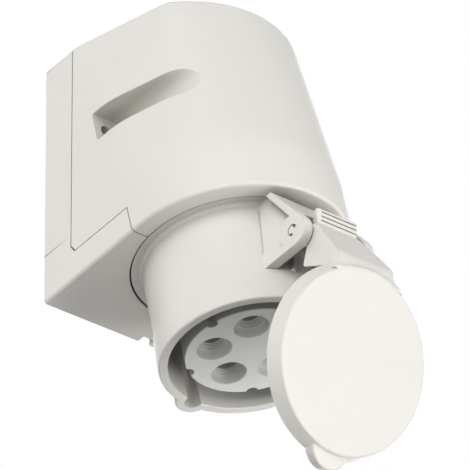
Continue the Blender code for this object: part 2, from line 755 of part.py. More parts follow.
def bracket_outline():
    """The bracket in (y, z): foot in the barrel, sloping top edge, round boss, flat underside."""
    foot = math.sqrt(COLLAR_ROOT_RADIUS**2 - EAR_OUTER_X**2) - JOIN_DEPTH
    lean = bridge_run()[3]
    boss = arc((PIN_Y, PIN_LEVEL), BOSS_RADIUS, -lean, math.pi / 2, 8)
    lower = (foot, PIN_LEVEL + BOSS_RADIUS)
    return [(foot, EAR_TOP_LEVEL), (EAR_TOP_Y, EAR_TOP_LEVEL), *boss, lower]


def ear_gap_outline():
    """The room between the ears in (y, z), which leaves a plate that ends as the lid's stop."""
    touch, run, facing, lean = bridge_run()
    short = BOSS_RADIUS * math.tan(LID_OPEN + LID_OVERTRAVEL + STOP_MARGIN - lean)
    beyond = 4 * BOSS_RADIUS

    def place(along, outward):
        return (
            touch[0] + along * run[0] + outward * facing[0],
            touch[1] + along * run[1] + outward * facing[1],
        )

    top = place(-(PIN_LEVEL + beyond) / run[1], -BRIDGE_THICKNESS)
    below = PIN_LEVEL + beyond
    return [
        top,
        place(-short, -BRIDGE_THICKNESS),
        place(-short, beyond),
        (PIN_Y + beyond, below),
        (0.0, below),
        (0.0, top[1]),
    ]


def ear_field_outline(border, top):
    """The sunk field of an ear in (y, z), inside a border round the ear and its boss."""
    touch, run, facing, lean = bridge_run()
    foot = EAR_OUTER_X
    under = (touch[0] - facing[0] * border, touch[1] - facing[1] * border)
    back = (under[1] - top) / run[1]
    start = (under[0] - run[0] * back, top)
    near = BOSS_RADIUS + border - EAR_BORDER
    turn = -math.pi / 2 - lean + math.acos((BOSS_RADIUS - border) / near) - WEB_BOSS_TURN
    boss = arc((PIN_Y, PIN_LEVEL), near, turn, WEB_BOSS_END, 6)
    floor = COLLAR_RING_LEVEL - WEB_FLOOR_DROP + EAR_BORDER - border
    return [(foot, top), start, *boss, (foot, floor)]


def ear_web(side, frame):
    """The thin slanting wall that fills an ear's field."""
    outline = ear_field_outline(EAR_BORDER - WEB_OVERLAP, EAR_TOP_LEVEL + WEB_TOP_SET_BACK)
    loops = []
    for depth in (WEB_THICKNESS, 0.0):
        loops.append([
            (
                side * (EAR_INNER_X + WEB_FACE_OFFSET - depth
                        + WEB_SLOPE_LEVEL * (level - PIN_LEVEL)
                        - WEB_SLOPE_Y * (front - PIN_Y)),
                front,
                level,
            )
            for front, level in outline
        ])
    return loft(f"ear_web_{side}", loops, frame)


def build_collar(frame, plastic):
    """The collar that takes the plug, with its keyway and the ears of the lid's hinge."""
    collar = turned("socket_collar", collar_profile(), frame, 64)
    root = rod("collar_inside", COLLAR_BORE + JOIN_DEPTH, 4 * COLLAR_LENGTH, frame,
               (0.0, 0.0, 0.0), sides=64)

    length = COLLAR_LENGTH - COLLAR_RING_LEVEL
    middle = COLLAR_LENGTH - length / 2
    bump = rod("key_bump", KEY_BUMP_RADIUS, length - 2 * KEY_BUMP_SET_BACK, frame,
               (KEY_X, KEY_Y, middle))
    boolean(bump, "DIFFERENCE", root)
    slot_end = COLLAR_LENGTH + WALL
    slot_floor = COLLAR_RING_LEVEL + KEY_FLOOR
    slot = rod("key_slot", KEY_SLOT_RADIUS, slot_end - slot_floor, frame,
               (KEY_X, key_slot_y(), (slot_end + slot_floor) / 2), sides=20)
    boolean(collar, "UNION", bump)

    bracket = cut_sheet("bracket", bracket_outline(), 2 * EAR_OUTER_X, frame,
                        rotation=ACROSS_X)
    gap = cut_sheet("ear_gap", ear_gap_outline(), 2 * EAR_INNER_X, frame, rotation=ACROSS_X)
    boolean(bracket, "DIFFERENCE", gap)
    field_outline = ear_field_outline(EAR_BORDER, EAR_TOP_LEVEL - EAR_BORDER)
    for side in (-1, 1):
        middle = side * (EAR_OUTER_X - EAR_THICKNESS / 2)
        field = cut_sheet(f"ear_field_{side}", field_outline, 2 * EAR_THICKNESS, frame,
                          (middle, 0.0, 0.0), ACROSS_X)
        boolean(bracket, "DIFFERENCE", field)
        boolean(bracket, "UNION", ear_web(side, frame))
    boolean(bracket, "DIFFERENCE", root)
    boolean(collar, "UNION", bracket)

    pin_bore = rod("pin_bore", PIN_RADIUS + HINGE_PLAY, 4 * EAR_OUTER_X, frame,
                   (0.0, PIN_Y, PIN_LEVEL), (0.0, math.pi / 2, 0.0))
    boolean(collar, "DIFFERENCE", slot, pin_bore)
    finish_part(collar, plastic)


def build_seal(frame, rubber):
    """The ring that seals the collar's flange against the housing's underside."""
    outer = FLANGE_RADIUS - RUNNING_GAP
    inner = outer - SEAL_WIDTH
    lower = SEAL_LEVEL - SEAL_THICKNESS
    profile = [(outer, SEAL_LEVEL), (outer, lower), (inner, lower), (inner, SEAL_LEVEL)]
    finish_part(turned("collar_seal_ring", profile, frame, 48), rubber)


def pole_place(index):
    """The (x, y) of a contact. The earth contact is at the wall side."""
    turn = EARTH_TURN + index * 2 * math.pi / len(POLES)
    return PITCH_RADIUS * math.sin(turn), -PITCH_RADIUS * math.cos(turn), turn


def hole_radius(index):
    """The hole behind a well, wider for the earth contact."""
    return WELL_RADIUS * (EARTH_HOLE_SHARE if index == 0 else WELL_HOLE_SHARE)


def well_profile(index):
    """The funnel of a well and the hole behind it, as (radius, level) points."""
    face = INSERT_FACE_LEVEL
    hole = hole_radius(index)
    bend = WELL_RADIUS - hole
    end = -INSERT_TAIL - WALL
    return [
        (0.0, face + INSERT_EDGE),
        (WELL_RADIUS, face + INSERT_EDGE),
        (WELL_RADIUS - bend / 8, face - WELL_DEPTH / 2),
        (WELL_RADIUS - bend / 2, face - WELL_DEPTH * 3 / 4),
        (hole, face - WELL_DEPTH),
        (hole, end),
        (0.0, end),
    ]


def insert_split_level():
    """The level at which the insert stands on its base."""
    return RUNNING_GAP + INSERT_FLANGE_THICKNESS


def build_insert(frame, plastic):
    """The contact insert: a drafted boss with funnel wells and notches round its face."""
    face = INSERT_FACE_LEVEL
    foot = insert_split_level() + RUNNING_GAP
    profile = [
        (0.0, face),
        (INSERT_RADIUS - INSERT_EDGE, face),
        (INSERT_RADIUS, face - INSERT_EDGE),
        (INSERT_RADIUS + INSERT_DRAFT, foot),
        (0.0, foot),
    ]
    insert = turned("contact_insert", profile, frame, 48)
    for index, pole in enumerate(POLES):
        across, front, turn = pole_place(index)
        well = turned("well_" + pole, well_profile(index), frame, 16, (across, front, 0.0))
        side = turn + math.pi / len(POLES)
        place = (INSERT_RADIUS * math.sin(side), -INSERT_RADIUS * math.cos(side), face)
        notch = rod("notch_" + pole, NOTCH_RADIUS, 2 * NOTCH_DEPTH, frame, place, sides=12)
        boolean(insert, "DIFFERENCE", well, notch)
    finish_part(insert, plastic)


def build_insert_base(frame, plastic):
    """The base under the insert, whose flange sits on the collar's ledge."""
    flange_radius = COLLAR_BORE - INSERT_FLANGE_PLAY
    tail = LEDGE_RADIUS - RUNNING_GAP
    profile = [
        (0.0, insert_split_level()),
        (flange_radius, insert_split_level()),
        (flange_radius, RUNNING_GAP),
        (tail, RUNNING_GAP),
        (tail, -INSERT_TAIL),
        (0.0, -INSERT_TAIL),
    ]
    base = turned("insert_base", profile, frame, 48)
    length = 2 * (INSERT_TAIL + insert_split_level())
    for index, pole in enumerate(POLES):
        across, front, _ = pole_place(index)
        hole = rod("base_hole_" + pole, hole_radius(index), length, frame,
                   (across, front, -INSERT_TAIL / 2), sides=16)
        boolean(base, "DIFFERENCE", hole)
    finish_part(base, plastic)


def build_contacts(frame, brass, steel):
    """Five contact sleeves, each with a terminal and its screw behind the insert."""
    for index, pole in enumerate(POLES):
        across, front, turn = pole_place(index)
        outer = hole_radius(index) - RUNNING_GAP
        bore = outer - SLEEVE_WALL
        mouth = INSERT_FACE_LEVEL - WELL_DEPTH - SLEEVE_SET_BACK
        collar = -INSERT_TAIL - RUNNING_GAP
        end = collar - TERMINAL_LENGTH
        profile = [
            (0.0, mouth - SLEEVE_BORE_DEPTH),
            (bore, mouth - SLEEVE_BORE_DEPTH),
            (bore, mouth),
            (outer, mouth),
            (outer, collar),
            (TERMINAL_RADIUS, collar),
            (TERMINAL_RADIUS, end),
            (0.0, end),
        ]
        sleeve = turned("contact_sleeve_" + pole, profile, frame, 20, (across, front, 0.0))
        middle = collar - TERMINAL_LENGTH / 2
        wire_depth = TERMINAL_LENGTH * WIRE_HOLE_SHARE
        wire = rod("wire_hole_" + pole, WIRE_HOLE_RADIUS, 2 * wire_depth, frame,
                   (across, front, end), sides=12)
        outward = (math.sin(turn), -math.cos(turn))
        tapped = TERMINAL_SCREW_LENGTH + RUNNING_GAP
        reach = TERMINAL_RADIUS - tapped / 2 + WALL / 2
        tap = rod("tap_" + pole, TERMINAL_SCREW_RADIUS + RUNNING_GAP, tapped + WALL, frame,
                  (across + outward[0] * reach, front + outward[1] * reach, middle),
                  (math.pi / 2, 0.0, turn), 12)
        boolean(sleeve, "DIFFERENCE", wire, tap)
        finish_part(sleeve, brass)

        head = TERMINAL_RADIUS + 2 * RUNNING_GAP
        shank = [
            (0.0, TERMINAL_HEAD_HEIGHT),
            (TERMINAL_HEAD_RADIUS, TERMINAL_HEAD_HEIGHT),
            (TERMINAL_HEAD_RADIUS, 0.0),
            (TERMINAL_SCREW_RADIUS, 0.0),
            (TERMINAL_SCREW_RADIUS, -TERMINAL_SCREW_LENGTH),
            (0.0, -TERMINAL_SCREW_LENGTH),
        ]
        place = (across + outward[0] * head, front + outward[1] * head, middle)
        screw = turned("terminal_screw_" + pole, shank, frame, 14, place,
                       (math.pi / 2, 0.0, turn))
        finish_part(screw, steel)


def build_lock_ring(frame, plastic):
    """The ring behind the collar that keeps the insert's base on the collar's ledge."""
    upper = COLLAR_BASE - RUNNING_GAP
    lower = upper - LOCK_RING_THICKNESS
    outer = LOCK_RING_RADIUS
    inner = LEDGE_RADIUS
    profile = [(outer, upper), (outer, lower), (inner, lower), (inner, upper)]
    finish_part(turned("insert_lock_ring", profile, frame, 48), plastic)


def build_hinge_pin(frame, steel):
    """The pin through both ears and the lid's knuckle."""
    length = 2 * EAR_OUTER_X - 2 * HINGE_PLAY
    pin = rod("hinge_pin", PIN_RADIUS, length, frame, (0.0, PIN_Y, PIN_LEVEL),
              (0.0, math.pi / 2, 0.0), 20)
    finish_part(pin, steel)


def lid_profile():
    """The lid's disc before its cup is cut: flat face and a rounded, drafted rim."""
    face = LID_FACE_LEVEL
    rim = LID_RIM_LEVEL
    fall = LID_DRAFT - LID_EDGE
    round_off = [
        (LID_FACE_RADIUS + fall * math.sin(turn), face - fall * (1.0 - math.cos(turn)))
        for turn in (0.0, math.pi / 6, math.pi / 3, math.pi / 2)
    ]
    return [
        (0.0, face),
        *round_off,
        (LID_RIM_RADIUS, rim + LID_EDGE),
        (LID_RIM_RADIUS - LID_EDGE, rim),
        (0.0, rim),
    ]


def neck_loops():
    """The lid's neck in sections from the hinge to the disc, each wider at its root."""
    face = LID_FACE_LEVEL
    edge = LID_RIM_RADIUS - LID_EDGE
    back = LID_RIM_RADIUS - NECK_SINK
    share = (LID_RIM_LEVEL - NECK_START_LEVEL) / (face - NECK_START_LEVEL)
    knee_y = NECK_START_Y + (edge - NECK_START_Y) * share
    knee_half = NECK_HALF_WIDTH - NECK_EDGE / 2
    flare = NECK_FLARE_HALF_WIDTH
    rows = [
        (NECK_START_LEVEL, NECK_START_Y, NECK_HALF_WIDTH, NECK_FRONT_HALF_WIDTH),
        (LID_RIM_LEVEL, knee_y, NECK_HALF_WIDTH, knee_half),
        (face - NECK_FLARE_DROP, edge + NECK_FLARE_REACH, flare, flare),
        (face - NECK_END_DROP, edge - NECK_END_SET_BACK, NECK_HALF_WIDTH, NECK_HALF_WIDTH),
    ]
    return [
        [(-inner, back, level), (inner, back, level), (outer, front, level),
         (-outer, front, level)]
        for level, front, inner, outer in rows
    ]


def tab_outline():
    """The thumb tab in (y, z), rooted on the knuckle."""
    tip = (PIN_Y + TAB_REACH, PIN_LEVEL + TAB_FALL)
    root = (PIN_Y + TAB_REACH / 2, PIN_LEVEL + TAB_FALL + TAB_CREST)
    slope = math.atan2(root[1] - tip[1], tip[0] - root[0])
    under = (
        tip[0] - TAB_THICKNESS * math.sin(slope),
        tip[1] - TAB_THICKNESS * math.cos(slope),
    )
    low = (PIN_Y + KNUCKLE_RADIUS - TAB_UNDERCUT, under[1] + TAB_UNDERCUT)
    return [(PIN_Y, PIN_LEVEL), low, under, tip, root, (PIN_Y, root[1])]


def tab_groove_tools(frame):
    """Cutters for the grip grooves across the tab's outer face."""
    outline = tab_outline()
    tip, root = outline[3], outline[4]
    tools = []
    for index in range(TAB_GROOVES):
        place = mix(tip, root, (index + 1) / (TAB_GROOVES + 1))
        size = (2 * (NECK_FRONT_HALF_WIDTH - TAB_CREST), TAB_GROOVE_WIDTH, 2 * TAB_GROOVE_WIDTH)
        tools.append(block(f"tab_groove_{index}", size, frame, (0.0, *place)))
    return tools


def build_lid(frame, plastic, rubber):
    """The lid with its neck, knuckle, thumb tab and key lug, and the gasket in its cup."""
    lid = turned("lid", lid_profile(), frame, 64)
    neck = loft("lid_neck", neck_loops(), frame)
    bevel = neck.modifiers.new("round the edges", "BEVEL")
    bevel.width = NECK_EDGE
    bevel.segments = 2
    bevel.limit_method = "ANGLE"
    bevel.angle_limit = SMOOTH_ANGLE

    lug_height = LID_HEIGHT - LID_LUG_DROP
    lug = rod("lid_lug", KEY_BUMP_RADIUS + LID_LUG_REACH, lug_height, frame,
              (KEY_X, KEY_Y, LID_RIM_LEVEL + lug_height / 2), sides=32)
    knuckle = rod("lid_knuckle", KNUCKLE_RADIUS, 2 * NECK_HALF_WIDTH, frame,
                  (0.0, PIN_Y, PIN_LEVEL), (0.0, math.pi / 2, 0.0))
    tab = cut_sheet("lid_tab", tab_outline(), 2 * NECK_FRONT_HALF_WIDTH, frame,
                    rotation=ACROSS_X)
    boolean(lid, "UNION", neck, lug, knuckle, tab)

    clearance = COLLAR_RIM_RADIUS + 2 * HINGE_PLAY
    length = LID_RIM_LEVEL - COLLAR_RING_LEVEL + 4 * BOSS_RADIUS
    sweep = rod("collar_clearance", clearance, length, frame,
                (0.0, 0.0, LID_RIM_LEVEL - length / 2), sides=64)
    cup_depth = LID_HEIGHT - LID_SKIN
    cup = rod("lid_cup", LID_BORE, 2 * cup_depth, frame, (0.0, 0.0, LID_RIM_LEVEL), sides=64)
    pin_bore = rod("lid_pin_bore", PIN_RADIUS + HINGE_PLAY, 4 * NECK_HALF_WIDTH, frame,
                   (0.0, PIN_Y, PIN_LEVEL), (0.0, math.pi / 2, 0.0))
    boolean(lid, "DIFFERENCE", sweep, cup, pin_bore, *tab_groove_tools(frame))
    finish_part(lid, plastic)

    outer = LID_BORE - RUNNING_GAP
    inner = GASKET_INNER_RADIUS
    upper = LID_FACE_LEVEL - LID_SKIN - RUNNING_GAP
    lower = COLLAR_LENGTH + RUNNING_GAP
    ring = [(outer, upper), (outer, lower), (inner, lower), (inner, upper)]
    finish_part(turned("lid_gasket", ring, frame, 48), rubber)


def main():
    """Build the whole socket with its lid open."""
    clear_scene()
    new_collection("industrial_wall_socket")
    new_collection("cutters")

    housing_plastic = new_material("housing_plastic", (0.74, 0.72, 0.68), 0.45)
    insert_plastic = new_material("insert_plastic", (0.60, 0.59, 0.56), 0.5)
    brass = new_material("nickel_plated_brass", (0.62, 0.58, 0.48), 0.3, 1.0)
    steel = new_material("zinc_plated_steel", (0.6, 0.6, 0.6), 0.35, 1.0)
    rubber = new_material("seal_rubber", (0.06, 0.06, 0.06), 0.8)

    outlet = new_empty("outlet_axis", None, (0.0, -AXIS_STAND_OFF, MOUTH_Z),
                       (math.pi - OUTLET_TILT, 0.0, 0.0))
    hinge = new_empty("hinge_axis", outlet, (0.0, PIN_Y, PIN_LEVEL), (-LID_OPEN, 0.0, 0.0))
    lid_frame = new_empty("lid_frame", hinge, (0.0, -PIN_Y, -PIN_LEVEL))
    bpy.context.view_layer.update()

    build_housing(outlet, housing_plastic)
    build_cover_screws(outlet, steel)
    build_grommet(rubber)
    build_collar(outlet, housing_plastic)
    build_seal(outlet, rubber)
    build_insert(outlet, insert_plastic)
    build_insert_base(outlet, insert_plastic)
    build_contacts(outlet, brass, steel)
    build_lock_ring(outlet, insert_plastic)
    build_hinge_pin(outlet, housing_plastic)
    build_lid(lid_frame, housing_plastic, rubber)


main()
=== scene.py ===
"""The looks of an industrial wall socket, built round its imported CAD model.

Every piece is drawn in millimetres in the outlet frame of the model and placed in metres:
x runs across the wall, y from the outlet's axis to its front, and z out of its mouth, with
z = 0 at the underside of the housing. The lid is drawn closed there and swung open.
"""

from dataclasses import dataclass, field
from enum import Enum
import logging
from math import acos, asin, atan2, cos, hypot, pi, radians, sin, sqrt, tan
from typing import Callable, Iterable, Optional, Sequence

import bmesh
import bpy
from bmesh.types import BMEdge, BMesh, BMVert
from bpy.types import ID, Material, Mesh, Node, NodeSocket, Object, World
from mathutils import Matrix, Vector


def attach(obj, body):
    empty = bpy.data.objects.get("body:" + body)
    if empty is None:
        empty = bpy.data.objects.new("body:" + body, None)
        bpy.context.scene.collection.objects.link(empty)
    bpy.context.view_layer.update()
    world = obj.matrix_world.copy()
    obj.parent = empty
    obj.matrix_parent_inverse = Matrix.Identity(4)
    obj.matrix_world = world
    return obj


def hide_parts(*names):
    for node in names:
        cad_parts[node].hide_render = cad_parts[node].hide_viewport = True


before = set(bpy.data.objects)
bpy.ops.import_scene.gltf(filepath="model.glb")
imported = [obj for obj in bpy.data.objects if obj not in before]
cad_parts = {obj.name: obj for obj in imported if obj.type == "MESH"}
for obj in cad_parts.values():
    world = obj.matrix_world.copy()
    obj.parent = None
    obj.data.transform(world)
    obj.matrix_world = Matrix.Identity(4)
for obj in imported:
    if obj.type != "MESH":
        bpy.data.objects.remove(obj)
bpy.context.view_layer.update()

LOG = logging.getLogger("wall_socket")

Point = tuple[float, float]
Place = tuple[float, float, float]
Colour = tuple[float, float, float]
Inputs = dict[str | int, float | tuple[float, ...] | NodeSocket]

# Lie of the outlet and of the hinge, in millimetres and radians
MM = 0.001
AXIS_STAND_OFF = 47.8
WALL_FACE_HEIGHT = 88.5
TILT = radians(15.0)
PIN_Y = 42.4
PIN_LEVEL = 22.2
LID_OPEN = radians(59.0)
MOUTH_Z = AXIS_STAND_OFF * tan(TILT) - WALL_FACE_HEIGHT / 2

OUTLET = (
    Matrix.Translation((0.0, -AXIS_STAND_OFF * MM, MOUTH_Z * MM))
    @ Matrix.Rotation(pi - TILT, 4, "X")
    @ Matrix.Scale(MM, 4)
)
OPEN_LID = (
    OUTLET
    @ Matrix.Translation((0.0, PIN_Y, PIN_LEVEL))
    @ Matrix.Rotation(-LID_OPEN, 4, "X")
    @ Matrix.Translation((0.0, -PIN_Y, -PIN_LEVEL))
)
WALL_FACE = Matrix.Scale(MM, 4)
SIDES = (-1, 1)
POLES = ("earth", "l1", "l2", "l3", "neutral")
OPENNESS_SAMPLES = 12

# Edges this near to a plane, in millimetres, lie on it
TOUCH = 0.01

# How a shape that is drawn along its own z is laid along another axis
ALONG_X = Matrix.Rotation(pi / 2, 4, "Z") @ Matrix.Rotation(pi / 2, 4, "X")
ALONG_Y = Matrix.Rotation(pi / 2, 4, "X")
PIN_AXIS = Matrix.Translation((0.0, PIN_Y, PIN_LEVEL)) @ ALONG_X


class Body(Enum):
    """The bodies of the model that a piece can ride on."""

    BASE = "base"
    LID = "lid"


class Work(Enum):
    """What one solid does to another."""

    CUT = "DIFFERENCE"
    JOIN = "UNION"
    KEEP = "INTERSECT"


class Face(Enum):
    """Which solid a face came from, kept as its material index while solids are worked."""

    SKIN = 0
    TOOL = 1


# ---- finishes


class Tree:
    """The shader nodes of a material or a world in the making."""

    def __init__(self, owner: Material | World) -> None:
        """Start with the nodes that the owner has by itself.

        Args:
            owner: The material or world.
        """
        owner.use_nodes = True
        self.nodes = owner.node_tree.nodes
        self.links = owner.node_tree.links

    def feed(self, node: Node, inputs: Inputs) -> None:
        """Set a node's inputs.

        Args:
            node: The node.
            inputs: Plain values or other nodes' outputs, by the inputs' names or places.
        """
        for name, value in inputs.items():
            if isinstance(value, NodeSocket):
                self.links.new(value, node.inputs[name])
            else:
                node.inputs[name].default_value = value

    def add(self, kind: str, output: str | int, inputs: Optional[Inputs] = None,
            operation: str = "") -> NodeSocket:
        """Add a node.

        Args:
            kind: Its kind.
            output: The name or place of the output that is wanted.
            inputs: Its inputs.
            operation: What it does with them, for a maths node.

        Returns:
            The output.
        """
        made = self.nodes.new("ShaderNode" + kind)
        if operation:
            made.operation = operation
        self.feed(made, inputs or {})
        return made.outputs[output]

    def noise(self, size: float, detail: float) -> NodeSocket:
        """Add a pattern with patches of this size in metres and this many finer layers."""
        return self.add("TexNoise", "Fac", {"Vector": self.add("TexCoord", "Object"),
                                            "Scale": 1.0 / size, "Detail": detail})

    def tones(self, value: NodeSocket, dark: float, light: Colour,
              start: float = 0.0, end: float = 1.0) -> NodeSocket:
        """Turn a value into tones of a colour.

        Args:
            value: The value.
            dark: The share of the colour that its darkest tone has.
            light: The colour.
            start: The value with the darkest tone.
            end: The value with the full colour.

        Returns:
            The colour.
        """
        made = self.add("ValToRGB", "Color", {"Fac": value})
        stops = made.node.color_ramp.elements
        for stop, position, share in zip(stops, (start, end), (dark, 1.0)):
            stop.position = position
            stop.color = (*(channel * share for channel in light), 1.0)
        return made

    def ranged(self, value: NodeSocket, low: float, high: float,
               start: float = 0.0, end: float = 1.0) -> NodeSocket:
        """Map a value in the range from start to end to the range from low to high."""
        return self.add("MapRange", "Result", {"Value": value, "From Min": start, "From Max": end,
                                               "To Min": low, "To Max": high})

    def openness(self, reach: float) -> NodeSocket:
        """Tell how open a point lies, from 0 deep in a hollow to 1 on a plain face.

        Args:
            reach: How far around the point, in metres, faces count.

        Returns:
            The value.
        """
        made = self.add("AmbientOcclusion", "AO", {"Distance": reach})
        made.node.samples = OPENNESS_SAMPLES
        return made

    def emboss(self, height: NodeSocket, strength: float, depth: float) -> NodeSocket:
        """Let a value raise and lower the surface, by this depth in metres."""
        return self.add("Bump", "Normal", {"Strength": strength, "Distance": depth,
                                           "Height": height})

    def choice(self, share: NodeSocket, first: NodeSocket, second: NodeSocket) -> NodeSocket:
        """Show the first of two shaders where the share is 0, and the second where it is 1."""
        return self.add("MixShader", 0, {0: share, 1: first, 2: second})

    def seen(self) -> NodeSocket:
        """Tell rays that show a background from rays that light the object.

        Returns:
            A value that is 1 for camera, glossy and transmission rays.
        """
        total = self.add("LightPath", "Is Camera Ray")
        for name in ("Is Glossy Ray", "Is Transmission Ray"):
            total = self.add("Math", 0, {0: total, 1: self.add("LightPath", name)}, "MAXIMUM")
        return total


@dataclass(frozen=True)
class Finish:
    """What every finish has: its material, its slot in the model, a colour and a roughness."""

    name: str
    slot: str
    colour: Colour
    roughness: float
    gloss_spread: Point = (0.0, 0.0)

    def gloss(self) -> Point:
        """The least and the most of the roughness."""
        return self.roughness + self.gloss_spread[0], self.roughness + self.gloss_spread[1]

    def material(self) -> Material:
        """Return the finish's material, which is made at its first use.

        Returns:
            The material.
        """
        made = bpy.data.materials.get(self.name)
        if made is None:
            made = bpy.data.materials.new(self.name)
            tree = Tree(made)
            tree.feed(tree.nodes["Principled BSDF"], self.surface(tree))
        return made

    def surface(self, tree: Tree) -> Inputs:
        """What the shader gets for this finish, with the nodes that it needs."""
        raise NotImplementedError


@dataclass(frozen=True)
class Plastic(Finish):
    """A moulded plastic: satin, with faint flow clouds and a fine spark-eroded grain.

    Its colour is painted darker in corners and hollows, as painted shade.
    """

    grain: float = 0.05
    grain_size: float = 0.00045
    grain_depth: float = 0.00005
    cloud_size: float = 0.03
    cloud: float = 0.025
    cloud_band: Point = (0.3, 0.7)
    sheen: float = 0.4
    gloss_spread: Point = (-0.04, 0.06)
    # How far around a point, how strongly and over which openness the colour is darkened in
    # corners and hollows as painted shade
    painted_shade_reach: float = 0.012
    painted_shade_strength: float = 0.52
    painted_shade_band: Point = (0.15, 0.8)

    def surface(self, tree: Tree) -> Inputs:
        """What the shader gets for this finish.

        Args:
            tree: The material's nodes, which this adds to.

        Returns:
            The shader's inputs.
        """
        clouds = tree.noise(self.cloud_size, 4.0)
        tones = tree.tones(clouds, 1.0 - self.cloud, self.colour, *self.cloud_band)
        # Painted shade: the base colour is multiplied down where a point lies in a corner or
        # hollow
        depth = tree.ranged(tree.openness(self.painted_shade_reach), 1.0 - self.painted_shade_strength, 1.0,
                            *self.painted_shade_band)
        shine = tree.noise(self.cloud_size / 3.0, 3.0)
        return {
            "Base Color": tree.add("VectorMath", "Vector", {0: tones, 1: depth}, "MULTIPLY"),
            "Specular IOR Level": self.sheen,
            "Roughness": tree.ranged(shine, *self.gloss()),
            "Normal": tree.emboss(tree.noise(self.grain_size, 2.0), self.grain, self.grain_depth),
        }


@dataclass(frozen=True)
class Metal(Finish):
    """A plated metal with fine turning marks and a little tarnish."""

    stain_size: float = 0.0025
    tarnish: float = 0.2
    gloss_spread: Point = (-0.08, 0.12)
    mark: float = 0.15
    mark_size: float = 0.0002
    mark_depth: float = 0.00003

    def surface(self, tree: Tree) -> Inputs:
        """What the shader gets for this finish.

        Args:
            tree: The material's nodes, which this adds to.

        Returns:
            The shader's inputs.
        """
        stain = tree.noise(self.stain_size, 4.0)
        return {
            "Base Color": tree.tones(stain, 1.0 - self.tarnish, self.colour),
            "Metallic": 1.0,
            "Roughness": tree.ranged(stain, *self.gloss()),
            "Normal": tree.emboss(tree.noise(self.mark_size, 2.0), self.mark, self.mark_depth),
        }


HOUSING_PLASTIC = Plastic("satin_housing", "housing_plastic", (0.86, 0.84, 0.79), 0.42)
INSERT_PLASTIC = Plastic("satin_insert", "insert_plastic", (0.88, 0.88, 0.85), 0.48)
SEAL_RUBBER = Plastic("matt_rubber", "seal_rubber", (0.045, 0.045, 0.045), 0.75, grain=0.2)
SLEEVE_BRASS = Metal("nickel_plated_brass", "contact_brass", (0.72, 0.66, 0.52), 0.3)
SCREW_STEEL = Metal("zinc_plated_steel", "zinc_steel", (0.62, 0.63, 0.64), 0.35)


# ---- shaping


def spun(points: Sequence[Point], steps: int = 96) -> BMesh:
    """Spin a profile about z into a closed solid.

    Args:
        points: The (radius, level) points. Their line starts and ends on the axis, or the
            last point joins the first.
        steps: The number of steps in a turn.

    Returns:
        The closed shape.
    """
    bm = bmesh.new()
    verts = [bm.verts.new((radius, 0.0, level)) for radius, level in points]
    edges = [bm.edges.new(pair) for pair in zip(verts, verts[1:])]
    if points[0][0] > 0.0:
        edges.append(bm.edges.new((verts[-1], verts[0])))
    bmesh.ops.spin(bm, geom=verts + edges, cent=(0.0, 0.0, 0.0), axis=(0.0, 0.0, 1.0),
                   angle=2.0 * pi, steps=steps, use_merge=True, use_duplicate=False)
    return closed(bm)


def closed(bm: BMesh, weld: float = 0.0005) -> BMesh:
    """Weld a shape's doubles and turn its faces out.

    Args:
        bm: The shape.
        weld: The distance within which points are one.

    Returns:
        The same shape.
    """
    bmesh.ops.remove_doubles(bm, verts=bm.verts, dist=weld)
    bmesh.ops.recalc_face_normals(bm, faces=bm.faces)
    return bm


def plate(outline: Sequence[Point], low: float, high: float,
          lie: Matrix = Matrix.Identity(4)) -> BMesh:
    """Extrude a flat outline from one height to another along its own z.

    Args:
        outline: The outline's (x, y) points.
        low: Where the plate starts.
        high: Where it ends.
        lie: How it is laid.

    Returns:
        The closed shape.
    """
    bm = bmesh.new()
    base = bm.faces.new([bm.verts.new((x, y, low)) for x, y in outline])
    grown = bmesh.ops.extrude_face_region(bm, geom=[base])
    verts = [item for item in grown["geom"] if isinstance(item, BMVert)]
    bmesh.ops.translate(bm, vec=(0.0, 0.0, high - low), verts=verts)
    bm.transform(lie)
    return closed(bm)


def rod(radius: float, low: float, high: float, sides: int = 48,
        lie: Matrix = Matrix.Identity(4)) -> BMesh:
    """Make a round rod along its own z.

    Args:
        radius: Its radius.
        low: Where it starts.
        high: Where it ends.
        sides: The number of its sides.
        lie: How it is laid.

    Returns:
        The closed shape.
    """
    bm = bmesh.new()
    middle = Matrix.Translation((0.0, 0.0, (low + high) / 2))
    bmesh.ops.create_cone(bm, cap_ends=True, segments=sides, radius1=radius, radius2=radius,
                          depth=high - low, matrix=lie @ middle)
    return bm


def strut(start: Vector, end: Vector, radius: float, sides: int = 24) -> BMesh:
    """Make a round rod from one point to another.

    Args:
        start: Its first end.
        end: Its last end.
        radius: Its radius.
        sides: The number of its sides.

    Returns:
        The closed shape.
    """
    along = end - start
    lie = Matrix.Translation(start) @ along.to_track_quat("Z", "Y").to_matrix().to_4x4()
    return rod(radius, 0.0, along.length, sides, lie)


def soften(bm: BMesh, radius: float, segments: int = 3, least: float = 30.0,
           where: Optional[Callable[[BMEdge], bool]] = None) -> BMesh:
    """Round a shape's edges that are at least so sharp, in degrees, and that pass a test."""
    return rounded(bm, [edge for edge in sharp_edges(bm, least) if where is None or where(edge)],
                   radius, segments, True)


def grown_loops(loops: Sequence[Sequence[Vector]]) -> BMesh:
    """Extrude a closed outline from loop to loop, and close both of its ends.

    Args:
        loops: The loops, each at one level and with the same number of points.

    Returns:
        The closed shape.
    """
    bm = bmesh.new()
    station = bm.verts.layers.int.new("station")
    verts = [bm.verts.new(point) for point in loops[0]]
    for index, vert in enumerate(verts):
        vert[station] = index
    bm.faces.new(verts)
    edges = list(bm.edges)
    for loop in loops[1:]:
        grown = bmesh.ops.extrude_edge_only(bm, edges=edges)["geom"]
        fresh = {item for item in grown if isinstance(item, BMVert)}
        for vert in fresh:
            vert.co = loop[vert[station]]
        edges = [item for item in grown if isinstance(item, BMEdge) and set(item.verts) <= fresh]
    bmesh.ops.contextual_create(bm, geom=edges)
    return closed(bm)


